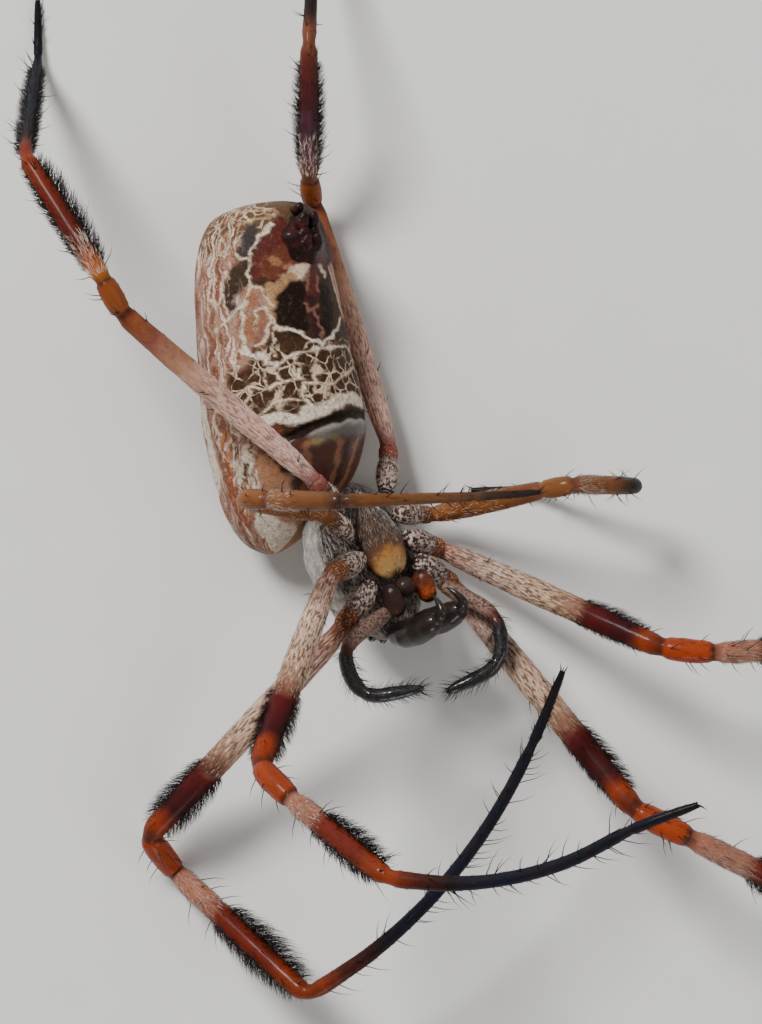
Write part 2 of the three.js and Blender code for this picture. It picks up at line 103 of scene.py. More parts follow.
# Number of a leg's last joint, its tip
TIP = len(SEGMENTS)
LEG_NUMBERS = (1, 2, 3, 4)
LEG_LENGTHS = [
    (2.7, 14.2, 2.8, 9.6, 16.0, 3.7),
    (2.65, 12.2, 2.4, 6.8, 11.6, 3.0),
    (2.5, 7.0, 1.7, 4.2, 6.2, 3.0),
    (2.6, 12.1, 1.8, 7.1, 11.5, 2.8),
]
LEG_GIRTHS = (1.0, 0.95, 0.8, 0.86)
FOOT_LEAST_GIRTH = 0.85
COXA_ROOT = {"x": (1.75, 0.55, -0.65, -1.85), "y": 1.7, "z": -0.45}
# Azimuth and elevation of each segment
LEG_POSES = {
    "left": [
        [(-122, 20), (-133, -18), (-56, -37), (-40, 30), (49, 10), (68, 10)],
        [(-154, 55), (-110, 44), (-42, 34), (-36, 42), (14, 28), (22, 15)],
        [(137, 52), (170, 58), (-3, 42), (-1, 38), (2, -22), (4, -10)],
        [(127, 42), (139, 21), (117, 30), (123, -16.5), (93, -60.8), (91, -6.3)],
    ],
    "right": [
        [(-35, -40), (-51, 21), (-26, 12), (-27, -15), (-31, -14), (-30, -10)],
        [(-19, -50), (-24, 24), (-5, 8), (2, -14), (-12, -21.5), (-20, -7)],
        [(-1, -48), (13, 42), (10, 34), (-1, -38), (-178, -38), (180, -8)],
        [(86, -33), (107.5, -2), (98, 58), (89.5, 33), (88, -33.65), (89, -4)],
    ],
}
# How far each leg's metatarsus bows aside, and the share of that at shares of its length
FOOT_BOWS = {"left": (-1.25, -1.0, 0.0, 0.0), "right": (0.0, 0.0, 0.0, 0.0)}
FOOT_ARCH = ((0, 0), (0.25, 0.75), (0.5, 1), (0.75, 0.75), (1, 0))
# Radius along each leg for a girth of 1: a whole number is a joint, from 0 at the root to 6 at the tip
LEG_RADII = [
    (0.0, 0.42), (0.25, 0.6), (0.5, 0.61), (0.6, 0.55), (0.66, 0.46), (0.74, 0.54), (0.9, 0.53),
    (0.98, 0.44),
    (1.03, 0.44), (1.08, 0.52), (1.14, 0.57), (1.4, 0.65), (1.75, 0.62), (1.9, 0.57), (1.96, 0.55),
    (1.99, 0.46),
    (2.03, 0.46), (2.12, 0.55), (2.4, 0.6), (2.7, 0.58), (2.9, 0.53), (2.98, 0.43),
    (3.02, 0.43), (3.06, 0.51), (3.15, 0.55), (3.6, 0.55), (3.82, 0.51), (3.95, 0.47), (3.99, 0.36),
    (4.02, 0.34), (4.05, 0.4), (4.12, 0.37), (4.4, 0.31), (4.7, 0.29), (4.95, 0.27), (4.99, 0.21),
    (5.03, 0.21), (5.08, 0.25), (5.4, 0.23), (5.8, 0.19), (6.0, 0.13),
]
# Brushes: side, leg, joint before the segment, stretch along it, and their height on its two edges
BRUSHES = [
    ("left", 1, 1, 0.66, 0.96, 0.75, 0.85),
    ("right", 1, 1, 0.66, 0.94, 0.3, 0.65),
    ("left", 1, 3, 0.34, 0.95, 0.8, 1.15),
    ("right", 1, 3, 0.34, 0.95, 1.0, 0.7),
    ("left", 2, 1, 0.62, 0.96, 0.5, 0.65),
    ("right", 2, 1, 0.64, 0.93, 0.28, 0.5),
    ("left", 2, 3, 0.3, 0.95, 0.55, 0.85),
    ("right", 2, 3, 0.3, 0.95, 0.8, 0.55),
    ("left", 4, 3, 0.1, 0.97, 0.85, 0.45),
    ("right", 4, 3, 0.08, 0.88, 0.55, 0.55),
    ("left", 4, 4, 0.03, 0.93, 0.5, 0.6),
]

# Palps: lengths of their three stretches, and radii by share of the whole length
PALP = {"root": (3.25, 2.0, 0.1), "lengths": (3.0, 2.1, 2.8)}
PALP_POSES = {
    "left": [(-136, 28), (-66, 15), (5, 8)],
    "right": [(-32, 14), (-88, 12), (-150, 5)],
}
PALP_RADII = [
    (0.0, 0.3), (0.08, 0.4), (0.2, 0.37), (0.33, 0.34), (0.37, 0.29), (0.41, 0.34), (0.5, 0.36), (0.6, 0.35),
    (0.645, 0.29), (0.68, 0.34), (0.82, 0.34), (0.93, 0.26), (1.0, 0.12),
]

SIDES = {"left": -1, "right": 1}


def axes_of(heading, roll):
    """The three axes of a body part, as the columns of a matrix."""
    turn = Matrix.Rotation(math.radians(heading), 3, "Z") @ Matrix.Rotation(math.radians(roll), 3, "X")
    return np.array(turn)


PROSOMA_AXES = axes_of(PROSOMA["heading"], PROSOMA["roll"])
ABDOMEN_AXES = axes_of(ABDOMEN["heading"], ABDOMEN["roll"])
lip_low, lip_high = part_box("labium")
LIP_CENTRE = np.array((lip_low + lip_high) / 2) / MM
SHIFT = LIP_CENTRE - PROSOMA_AXES @ np.array(LABIUM) - np.array(PROSOMA["centre"])


def in_frame(points):
    """Millimetres in the source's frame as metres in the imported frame."""
    return (np.asarray(points, float) + SHIFT) * MM


def on_prosoma(points):
    """Places on the cephalothorax in the source's frame."""
    return np.asarray(points, float) @ PROSOMA_AXES.T + np.array(PROSOMA["centre"])


def on_abdomen(points):
    """Places on the abdomen in the source's frame."""
    return np.asarray(points, float) @ ABDOMEN_AXES.T + np.array(ABDOMEN["rear"])


def pointing(azimuth, elevation):
    """Unit vector at an azimuth and elevation."""
    turn, lift = math.radians(azimuth), math.radians(elevation)
    return np.array([math.cos(lift) * math.cos(turn), math.cos(lift) * math.sin(turn), math.sin(lift)])


def unit(vectors):
    """The same vectors with a length of 1."""
    lengths = np.linalg.norm(vectors, axis=-1, keepdims=True)
    return vectors / np.maximum(lengths, 1e-12)


def smooth_step(value, low, high):
    """0 below low, 1 above high, smooth between."""
    share = np.clip((np.asarray(value, float) - low) / (high - low), 0, 1)
    return share * share * (3 - 2 * share)


def scaled(colour, share):
    """A colour made darker or lighter by a share."""
    return tuple(channel * share for channel in colour)


def smooth_line(points, before=None, after=None, per_span=24):
    """A smooth curve through points, as many short steps. Before and after steer its two ends."""
    points = np.asarray(points, float)
    first = 2 * points[0] - points[1] if before is None else np.asarray(before, float)
    last = 2 * points[-1] - points[-2] if after is None else np.asarray(after, float)
    knots = np.vstack([first, points, last])
    line = [points[:1]]
    share = np.linspace(0, 1, per_span + 1)[1:, None]
    for p0, p1, p2, p3 in zip(knots, knots[1:], knots[2:], knots[3:]):
        d0, d1, d2 = (max(np.linalg.norm(b - a) ** 0.5, 1e-4) for a, b in ((p0, p1), (p1, p2), (p2, p3)))
        leave = ((p1 - p0) / d0 - (p2 - p0) / (d0 + d1) + (p2 - p1) / d1) * d1
        arrive = ((p2 - p1) / d1 - (p3 - p1) / (d1 + d2) + (p3 - p2) / d2) * d1
        square, cube = share**2, share**3
        line.append(
            (2 * cube - 3 * square + 1) * p1
            + (cube - 2 * square + share) * leave
            + (3 * square - 2 * cube) * p2
            + (cube - square) * arrive
        )
    return np.vstack(line)


class Centreline:
    """The middle of a limb: a polyline with its bends rounded, and a frame carried along it."""

    STEP = 0.06

    def __init__(self, stretches, rounding=9):
        lengths = [np.linalg.norm(np.diff(line, axis=0), axis=1).sum() for line in stretches]
        self.joints = np.concatenate([[0], np.cumsum(lengths)])
        whole = np.vstack([stretches[0], *(line[1:] for line in stretches[1:])])
        places = np.concatenate([[0], np.cumsum(np.linalg.norm(np.diff(whole, axis=0), axis=1))])
        self.places = np.linspace(0, places[-1], max(8, int(places[-1] / self.STEP)))
        points = np.stack([np.interp(self.places, places, whole[:, k]) for k in range(3)], axis=1)
        for _ in range(2):
            head = 2 * points[0] - points[rounding:0:-1]
            tail = 2 * points[-1] - points[-2 : -rounding - 2 : -1]
            padded = np.vstack([head, points, tail])
            kernel = np.ones(2 * rounding + 1) / (2 * rounding + 1)
            points = np.stack([np.convolve(padded[:, k], kernel, "valid") for k in range(3)], axis=1)
        self.points = points
        self.along = unit(np.gradient(points, axis=0))
        self.up = np.zeros_like(points)
        up = np.array([0.0, 0.0, 1.0])
        if abs(self.along[0][2]) > 0.95:
            up = np.array([0.0, 1.0, 0.0])
        for i, direction in enumerate(self.along):
            up = unit(up - (up @ direction) * direction)
            self.up[i] = up
        self.across = np.cross(self.along, self.up)

    def at(self, place):
        """Middle, direction, up and across at distances along the limb."""
        found = []
        for values in (self.points, self.along, self.up, self.across):
            found.append(np.stack([np.interp(place, self.places, values[:, k]) for k in range(3)], axis=-1))
        return found

    def place_of(self, joint):
        """Distance along the limb of a joint number, such as 1.5 for halfway from joint 1 to joint 2."""
        return np.interp(joint, np.arange(len(self.joints)), self.joints)


class Skin:
    """A closed surface given by a shape function of u along it and v round it, both from 0 to 1.

    A spacing function may draw its rings together along u.
    """

    # Half the step for slopes, in shares of the skin, and the distance in metres at which points merge
    HALF_STEP = 2e-3
    MERGE = 2e-7

    def __init__(self, name, rings, sides, shape, spacing=None):
        self.name = name
        self.rings = rings
        self.sides = sides
        self.shape = shape
        self.spacing = spacing

    def build(self):
        mesh_data = bmesh.new()
        layer = mesh_data.loops.layers.uv.new("UVMap")
        bmesh.ops.create_grid(mesh_data, x_segments=self.rings, y_segments=self.sides, size=0.5)
        flat = np.array([vertex.co for vertex in mesh_data.verts]) + 0.5
        if self.spacing:
            flat[:, 0] = self.spacing(flat[:, 0])
        for face in mesh_data.faces:
            for loop in face.loops:
                loop[layer].uv = flat[loop.vert.index][:2]
        places = in_frame(self.shape(flat[:, 0], flat[:, 1]))
        for vertex, place in zip(mesh_data.verts, places):
            vertex.co = place
        bmesh.ops.remove_doubles(mesh_data, verts=mesh_data.verts, dist=self.MERGE)
        bmesh.ops.recalc_face_normals(mesh_data, faces=mesh_data.faces)
        mesh = bpy.data.meshes.new(self.name)
        mesh_data.to_mesh(mesh)
        mesh_data.free()
        mesh.polygons.foreach_set("use_smooth", [True] * len(mesh.polygons))
        piece = bpy.data.objects.new(self.name, mesh)
        bpy.context.collection.objects.link(piece)
        return piece

    def roots(self, u, v):
        """Places on the skin, with its outward and lengthwise directions there."""
        step = self.HALF_STEP
        here = self.shape(u, v)
        ahead = self.shape(np.clip(u + step, 0, 1), v) - self.shape(np.clip(u - step, 0, 1), v)
        beside = self.shape(u, (v + step) % 1) - self.shape(u, (v - step) % 1)
        return here, unit(np.cross(beside, ahead)), unit(ahead)


def oval(half_sizes, place, carry, bulge=None):
    """Shape function of a closed oval, its long axis along x, which a bulge function may reshape."""

    def shape(u, v):
        turn = 2 * math.pi * np.asarray(v)
        lean = math.pi * np.asarray(u)
        ring = np.sin(lean)
        points = np.stack([-np.cos(lean), ring * np.sin(turn), ring * np.cos(turn)], axis=-1)
        if bulge:
            points = bulge(points)
        return carry(points * np.array(half_sizes) + np.array(place))

    return shape


def tube(centreline, radii, girth=1.0, waviness=0.0):
    """Shape function of a limb round a centreline. Radii go by joint number; both ends are closed."""
    stations, sizes = zip(*radii)
    last = stations[-1]

    def shape(u, v):
        joint = np.asarray(u) * last
        place = centreline.place_of(joint) if last > 1 else joint * centreline.places[-1]
        middle, _, up, across = centreline.at(place)
        size = np.interp(joint, stations, sizes) * girth
        turn = 2 * math.pi * np.asarray(v)
        size = size * (1 + waviness * np.sin(3 * turn + place * 1.7) * np.sin(place * 5.1))
        size = np.where((joint <= 0) | (joint >= last), 0.0, size)
        return middle + size[:, None] * (np.cos(turn)[:, None] * up + np.sin(turn)[:, None] * across)

    return shape


def joined_strands(name, roots, directions, lengths, widths, bends, unwrap, sides=3, steps=2):
    """Many tapered hairs as one mesh. Each leaves its root in its direction and is drawn aside by a bend."""
    count = len(roots)
    lengths = np.broadcast_to(lengths, count)
    widths = np.broadcast_to(widths, count)
    directions = unit(directions)
    helper = np.where(np.abs(directions[:, 2:3]) > 0.9, [[0.0, 1.0, 0.0]], [[0.0, 0.0, 1.0]])
    side = unit(np.cross(directions, helper))
    other = np.cross(directions, side)
    rings = []
    for step in range(steps):
        share = step / steps
        middle = roots + directions * (lengths * share)[:, None] + bends * (lengths * share**2)[:, None]
        size = (widths / 2 * (1 - share) ** 0.6)[:, None]
        for k in range(sides):
            turn = 2 * math.pi * k / sides
            rings.append(middle + size * (math.cos(turn) * side + math.sin(turn) * other))
    rings.append(roots + (directions + bends) * lengths[:, None])
    each = steps * sides + 1
    points = in_frame(np.stack(rings, axis=1).reshape(-1, 3))
    template = []
    for step in range(steps - 1):
        for k in range(sides):
            a, b = step * sides + k, step * sides + (k + 1) % sides
            template += [(a, b, b + sides), (a, b + sides, a + sides)]
    for k in range(sides):
        template.append(((steps - 1) * sides + k, (steps - 1) * sides + (k + 1) % sides, each - 1))
    faces = (np.array(template)[None] + (np.arange(count) * each)[:, None, None]).reshape(-1, 3)
    mesh = bpy.data.meshes.new(name)
    mesh.vertices.add(len(points))
    mesh.vertices.foreach_set("co", points.astype(np.float32).ravel())
    mesh.loops.add(faces.size)
    mesh.loops.foreach_set("vertex_index", faces.astype(np.int32).ravel())
    mesh.polygons.add(len(faces))
    mesh.polygons.foreach_set("loop_start", np.arange(0, faces.size, 3, dtype=np.int32))
    mesh.update(calc_edges=True)
    patch = np.array([[k % 2, k // 2 / max(1, each / 2)] for k in range(each)]) * 0.003
    places = (np.asarray(unwrap)[:, None, :] + patch[None]).reshape(-1, 2)
    layer = mesh.uv_layers.new(name="OFBake")
    layer.data.foreach_set("uv", places[faces.ravel()].astype(np.float32).ravel())
    mesh.polygons.foreach_set("use_smooth", [True] * len(mesh.polygons))
    piece = bpy.data.objects.new(name, mesh)
    bpy.context.collection.objects.link(piece)
    return piece


class Shade:
    """A number in a material's nodes. Python's operators on it add Math nodes."""

    def __init__(self, finish, socket):
        self.finish = finish
        self.socket = socket

    def math(self, operation, *values):
        return self.finish.node("ShaderNodeMath", {"operation": operation}, dict(enumerate(values)))

    def __add__(self, other):
        return self.math("ADD", self, other)

    __radd__ = __add__

    def __sub__(self, other):
        return self.math("SUBTRACT", self, other)

    def __rsub__(self, other):
        return self.math("SUBTRACT", other, self)

    def __mul__(self, other):
        return self.math("MULTIPLY", self, other)

    __rmul__ = __mul__

    def __truediv__(self, other):
        return self.math("DIVIDE", self, other)

    def __pow__(self, other):
        return self.math("POWER", self, other)


class Finish:
    """A material made of nodes round one Principled shader."""

    def __init__(self, name, **constants):
        self.material = bpy.data.materials.new(name)
        self.material.use_nodes = True
        self.tree = self.material.node_tree
        self.shader = self.tree.nodes["Principled BSDF"]
        for socket, value in constants.items():
            self.shader.inputs[socket.replace("_", " ").title().replace("Ior", "IOR")].default_value = value

    def node(self, kind, settings=None, inputs=None, output=0):
        """A node of a type, its settings first, then the values or links of its sockets."""
        made = self.tree.nodes.new(kind)
        for key, value in (settings or {}).items():
            if key == "stops":
                self.set_stops(made.color_ramp, value)
            else:
                setattr(made, key, value)
        for key, value in (inputs or {}).items():
            self.feed(made.inputs[key], value)
        return Shade(self, made.outputs[output])

    def set_stops(self, ramp, stops):
        """Fills a colour ramp with pairs of place and colour."""
        while len(ramp.elements) < len(stops):
            ramp.elements.new(1.0)
        for element, (place, colour) in zip(ramp.elements, stops):
            element.position = place
            element.color = (*colour, 1)

    def feed(self, socket, value):
        """Links a Shade to a socket, or sets the socket to a value."""
        if isinstance(value, Shade):
            self.tree.links.new(value.socket, socket)
        elif isinstance(value, (tuple, list)) and socket.type == "RGBA" and len(value) == 3:
            socket.default_value = (*value, 1)
        else:
            socket.default_value = value

    def on_shader(self, **values):
        """Feeds the shader's sockets and gives the finished material."""
        for socket, value in values.items():
            self.feed(self.shader.inputs[socket.replace("_", " ").title()], value)
        return self.material

    def place(self):
        """Object coordinates, in metres."""
        return self.node("ShaderNodeTexCoord", output="Object")

    def along_and_round(self):
        """The two numbers of the piece's UV map."""
        unwrap = self.node("ShaderNodeUVMap", {"uv_map": "UVMap"})
        split = self.node("ShaderNodeSeparateXYZ", None, {0: unwrap})
        return split, Shade(self, split.socket.node.outputs[1])

    def noise(self, vector, size, detail=3.0, roughness=0.55):
        """Cloudy noise from 0 to 1, its blotches about a size in millimetres."""
        return self.raw_noise(vector, 1 / (size * MM), detail, roughness)

    def fine(self, vector, size):
        """Rough, fine-grained noise."""
        return self.noise(vector, size, 4.0, 0.7)

    def raw_noise(self, vector, scale, detail, roughness):
        """Cloudy noise from 0 to 1 at a scale of its own."""
        inputs = {"Vector": vector, "Scale": scale, "Detail": detail, "Roughness": roughness}
        return self.node("ShaderNodeTexNoise", None, inputs)

    def cell_edges(self, vector, size):
        """Distance to the edge in a field of random cells, about a size in millimetres across."""
        inputs = {"Vector": vector, "Scale": 1 / (size * MM)}
        return self.node("ShaderNodeTexVoronoi", {"feature": "DISTANCE_TO_EDGE"}, inputs)

    def step(self, value, low, high):
        """0 below low, 1 above high, smooth between."""
        inputs = {"Value": value, "From Min": low, "From Max": high}
        return self.node("ShaderNodeMapRange", {"interpolation_type": "SMOOTHSTEP"}, inputs)

    def within(self, value, low, high, soft):
        """1 between low and high, 0 outside, soft at both ends."""
        rise = self.step(value, low - soft, low + soft)
        return rise * (1 - self.step(value, high - soft, high + soft))

    def mix(self, share, first, second):
        """The first colour turned into the second by a share."""
        return self.node("ShaderNodeMix", {"data_type": "RGBA"}, {0: share, 6: first, 7: second}, output=2)

    def ramp(self, value, stops):
        """Colours at places from 0 to 1."""
        return self.node("ShaderNodeValToRGB", {"stops": stops}, {0: value})

    def attribute(self, name):
        """The colour that the mesh keeps under a name."""
        return self.node("ShaderNodeAttribute", {"attribute_name": name}, output="Color")

    def parts(self, colour):
        """Red, green and blue of a colour as three numbers."""
        split = self.node("ShaderNodeSeparateColor", None, {0: colour})
        return [Shade(self, output) for output in split.socket.node.outputs]

    def bump(self, height, depth):
        """A normal from a height of 0 to 1, its depth in millimetres."""
        return self.node("ShaderNodeBump", None, {"Strength": 1.0, "Distance": depth * MM, "Height": height})


def dress(piece, material, slot, *nodes):
    """Gives a piece its material and hides the nodes that it takes the place of. The slot is not used."""
    piece.data.materials.clear()
    piece.data.materials.append(material)
    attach(piece, "root")
    if nodes:
        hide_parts(*nodes)


def settings():
    """Sizes from the settings."""
    return bpy.context.scene.orb_weaver_sizes


def tint(name):
    """A colour from the settings."""
    return tuple(getattr(bpy.context.scene.orb_weaver_colours, name))


def colour_setting(name, description, default):
    return FloatVectorProperty(
        name=name, description=description, default=default, size=3, subtype="COLOR", min=0, max=1
    )


class OrbWeaverSizes(bpy.types.PropertyGroup):
    """Sizes of hair and stage that a user may change."""

    brush_hair_width: FloatProperty(
        name="Brush hair width", description="Thickness of a brush hair in mm", default=0.025, min=0.01
    )
    brush_density: IntProperty(
        name="Brush density", description="Hairs for each mm of a brush's edge", default=100, min=1
    )
    bristle_width: FloatProperty(
        name="Bristle width", description="Thickness of a leg bristle in mm", default=0.062, min=0.01
    )
    down_width: FloatProperty(
        name="Down width", description="Thickness of a short pale hair in mm", default=0.022, min=0.01
    )
    floor_size: FloatProperty(
        name="Floor size", description="Side of the square floor", default=1.6, min=0.1, unit="LENGTH"
    )
    camera_height: FloatProperty(
        name="Camera height", description="Height of the camera above the floor", default=0.185, unit="LENGTH"
    )
    lens: FloatProperty(name="Lens", description="Focal length of the camera", default=136.05, unit="CAMERA")


class OrbWeaverColours(bpy.types.PropertyGroup):
    """Colours that a user may change."""

    cream: colour_setting("Cream", "Net and patches of the abdomen", (0.86, 0.67, 0.48))
    chocolate: colour_setting("Chocolate", "Cells between the net", (0.042, 0.019, 0.009))
    flank: colour_setting("Flank", "Pinkish beige of the abdomen's sides", (0.44, 0.24, 0.17))
    rust: colour_setting("Rust", "Red-brown areas of the abdomen", (0.3, 0.08, 0.03))
    femur: colour_setting("Femur", "Pink-cream of the long femora", (0.62, 0.42, 0.32))
    orange: colour_setting("Orange", "Orange-red of the knees", (0.3, 0.038, 0.005))
    red_brown: colour_setting("Red-brown", "Tibiae", (0.13, 0.012, 0.003))
    foot: colour_setting("Foot", "Blue-black of the feet", (0.006, 0.008, 0.018))
    short_leg: colour_setting("Short leg", "Orange-brown of the third legs", (0.23, 0.08, 0.022))
    floor: colour_setting("Floor", "Pale floor", (0.78, 0.77, 0.75))


def aim(light, target):
    """Turns a light to face a point."""
    light.rotation_euler = (Vector(target) - light.location).to_track_quat("-Z", "Y").to_euler()


class ORBWEAVER_OT_stage(bpy.types.Operator):
    """Pale floor, soft studio lights and a camera that looks straight down."""

    bl_idname = "orb_weaver.stage"
    bl_label = "Stage"

    # Name, place, diameter and power of each light
    LIGHTS = (
        ("key_light", (-0.2, 0.24, 0.3), 0.14, 2.3),
        ("fill_light", (0.28, -0.1, 0.24), 0.26, 0.4),
        ("rim_light", (0.02, -0.32, 0.12), 0.16, 0.3),
    )
    LIGHT_TARGET = (-0.01, 0.0, 0.005)
    SKY = {"Color": (0.9, 0.89, 0.88, 1), "Strength": 0.22}
    SENSOR_WIDTH = 36
    CLIP = (0.001, 5)

    def execute(self, context):
        self.add_floor()
        self.add_lights(context)
        self.add_camera(context)
        return {"FINISHED"}

    def add_lights(self, context):
        for name, place, size, power in self.LIGHTS:
            lamp = bpy.data.lights.new(name, "AREA")
            lamp.shape = "DISK"
            lamp.size = size
            lamp.energy = power
            light = bpy.data.objects.new(name, lamp)
            light.location = place
            context.collection.objects.link(light)
            aim(light, self.LIGHT_TARGET)
        world = bpy.data.worlds.new("studio")
        world.use_nodes = True
        for socket, value in self.SKY.items():
            world.node_tree.nodes["Background"].inputs[socket].default_value = value
        context.scene.world = world

    def add_camera(self, context):
        lens = bpy.data.cameras.new("camera")
        lens.sensor_width = self.SENSOR_WIDTH
        lens.lens = settings().lens
        lens.clip_start, lens.clip_end = self.CLIP
        camera = bpy.data.objects.new("camera", lens)
        over = in_frame((0.0, 0.0, 0.0))
        camera.location = (over[0], over[1], settings().camera_height)
        context.collection.objects.link(camera)
        context.scene.camera = camera

    def add_floor(self):
        sheet = bmesh.new()
        bmesh.ops.create_grid(sheet, x_segments=2, y_segments=2, size=settings().floor_size / 2)
        mesh = bpy.data.meshes.new("floor")
        sheet.to_mesh(mesh)
        sheet.free()
        floor = bpy.data.objects.new("floor", mesh)
        bpy.context.collection.objects.link(floor)
        paper = Finish("pale floor", roughness=0.85)
        grain = paper.noise(paper.place(), 3.0)
        tone = paper.mix(grain, tint("floor"), scaled(tint("floor"), 1.05))
        floor.data.materials.append(paper.on_shader(base_color=tone))


# Abdomen


def abdomen_profile():
    """Distance from the rear, radius and shift to the back along the abdomen's outline."""
    before = (0.1, -1.3, -0.65)
    after = (15.9, -1.05, 2.05)
    return smooth_line(ABDOMEN_STATIONS, before, after, per_span=16)


ABDOMEN_OUTLINE = abdomen_profile()
# Share of the outline's length at each of its points, so that rings lie evenly along it
OUTLINE_STEPS = np.linalg.norm(np.diff(ABDOMEN_OUTLINE[:, :2], axis=0), axis=1)
OUTLINE_LENGTH = np.concatenate([[0], np.cumsum(OUTLINE_STEPS)])
OUTLINE_SHARE = OUTLINE_LENGTH / OUTLINE_LENGTH[-1]


def abdomen_place(u, v):
    """Distance from the rear and turn from the belly's middle line, in degrees, of a place on the skin."""
    distance = np.interp(u, OUTLINE_SHARE, ABDOMEN_OUTLINE[:, 0])
    return distance, (np.asarray(v) - 0.5) * 360


# Slit across the belly: distance from the rear, the turn where it is nearest to it, and its curve
SLIT = {"distance": 10.41, "turn": 18, "curve": 0.00021}


def slit_distance(distance, turn):
    """How far in mm a place lies in front of the slit across the belly."""
    return distance - (SLIT["distance"] + SLIT["curve"] * (turn - SLIT["turn"]) ** 2)


def abdomen_relief(distance, turn):
    """How far the skin stands out or in at a place: the slit, the lip before it, flank folds and swells."""
    ahead = slit_distance(distance, turn)
    across = 1 - smooth_step(np.abs(turn), 38, 52)
    relief = -0.16 * np.exp(-((ahead / 0.17) ** 2)) * across
    relief += 0.1 * np.exp(-(((ahead - 0.75) / 0.5) ** 2)) * across
    flank = smooth_step(-turn, 52, 80) * (1 - smooth_step(-turn, 150, 175))
    relief += 0.035 * flank * np.sin(np.radians(turn) * 17 + 0.8 * np.sin(distance * 0.9))
    relief += 0.02 * np.sin(distance * 2.3 + np.radians(turn) * 3) * np.sin(np.radians(turn) * 5 + distance)
    return relief


def abdomen_shape(u, v):
    """Shape function of the abdomen."""
    u = np.asarray(u, float)
    radius = np.interp(u, OUTLINE_SHARE, ABDOMEN_OUTLINE[:, 1])
    shift = np.interp(u, OUTLINE_SHARE, ABDOMEN_OUTLINE[:, 2])
    distance, turn = abdomen_place(u, v)
    ends = smooth_step(radius, 0.4, 2.4)
    radius = np.maximum(radius + abdomen_relief(distance, turn) * ends, 0)
    angle = np.radians(turn)
    local = np.stack([distance, radius * np.sin(angle), radius * np.cos(angle) - shift], axis=-1)
    return on_abdomen(local)


ABDOMEN_SKIN = Skin("abdomen_skin", 340, 250, abdomen_shape)


class Painting:
    """Colours and masks painted on the abdomen, in mm from its rear and degrees from the belly's line."""

    # Millimetres for a degree of turn
    ARC = 3.6 * math.pi / 180
    BAND_SOFTNESS = 0.25
    # Softness of a stroke's edge: a share of its half width, and at most so many mm
    STROKE_SOFTNESS = 0.5
    STROKE_EDGE = 0.09
    # The widest stroke in mm whose edges are as uneven as they can be
    UNEVEN_WIDTH = 0.3

    def __init__(self, distance, turn):
        self.distance = distance
        self.turn = turn
        count = len(distance)
        self.layers = {
            "colour": np.zeros((count, 3)),
            "net": np.zeros(count),
            "gloss": np.zeros(count),
            "streaks": np.zeros(count),
        }
        self.wander()

    def wander(self):
        """Places drawn a little aside, and widths made uneven, so that painted edges aren't straight."""
        angle = np.radians(self.turn)
        ripple = np.sin(self.distance * 6.1 + 7 * np.sin(angle * 4))
        self.far = self.distance + 0.04 * np.sin(angle * 19 + 4 * np.sin(self.distance * 2.3)) + 0.03 * ripple
        sway = 0.6 * np.sin(self.distance * 12.7 + angle * 24)
        self.side = self.turn + 0.8 * np.sin(self.distance * 7.3 + 3 * np.sin(angle * 5)) + sway
        slow = np.sin(self.distance * 5.3 + angle * 9) * np.sin(self.distance * 3.1 - angle * 16)
        quick = np.sin(self.distance * 14.3 + angle * 37) * np.sin(self.distance * 10.1 - angle * 29)
        self.unevenness = 0.34 * slow + 0.26 * quick

    def lay(self, layer, value, mask):
        """Turns a layer into a value where its mask is 1."""
        value = np.asarray(value, float)
        share = mask[:, None] if self.layers[layer].ndim == 2 else mask
        self.layers[layer] = self.layers[layer] * (1 - share) + value * share

    def colour(self, value, mask, strength=1.0):
        self.lay("colour", value, mask * strength)

    @staticmethod
    def within(value, low, high, soft):
        """1 between low and high, 0 outside, soft at both ends."""
        return smooth_step(value, low - soft, low + soft) * (1 - smooth_step(value, high - soft, high + soft))

    def band(self, low, high):
        """Mask of a stretch of the abdomen's length."""
        return self.within(self.far, low, high, self.BAND_SOFTNESS)

    def wedge(self, low, high, soft=5):
        """Mask of a range of turns."""
        return self.within(self.side, low, high, soft)

    def spot(self, distance, turn, long, wide, soft=0.25):
        """Mask of an oval, long and wide in mm."""
        reach = np.hypot((self.far - distance) / (long / 2), (self.side - turn) * self.ARC / (wide / 2))
        return 1 - smooth_step(reach, 1 - soft, 1 + soft)

    def stroke(self, points, width):
        """Mask of a line through places, as wide as given in mm."""
        near = np.full(len(self.distance), 1e3)
        places = [(a, t * self.ARC) for a, t in points]
        x, y = self.far, self.side * self.ARC
        for (x0, y0), (x1, y1) in zip(places, places[1:]):
            span = max((x1 - x0) ** 2 + (y1 - y0) ** 2, 1e-9)
            share = np.clip(((x - x0) * (x1 - x0) + (y - y0) * (y1 - y0)) / span, 0, 1)
            near = np.minimum(near, np.hypot(x - x0 - share * (x1 - x0), y - y0 - share * (y1 - y0)))
        half = width / 2 * (1 + self.unevenness * min(1, self.UNEVEN_WIDTH / width))
        edge = np.minimum(half * self.STROKE_SOFTNESS, self.STROKE_EDGE)
        return smooth_step(half - near, -edge, edge)


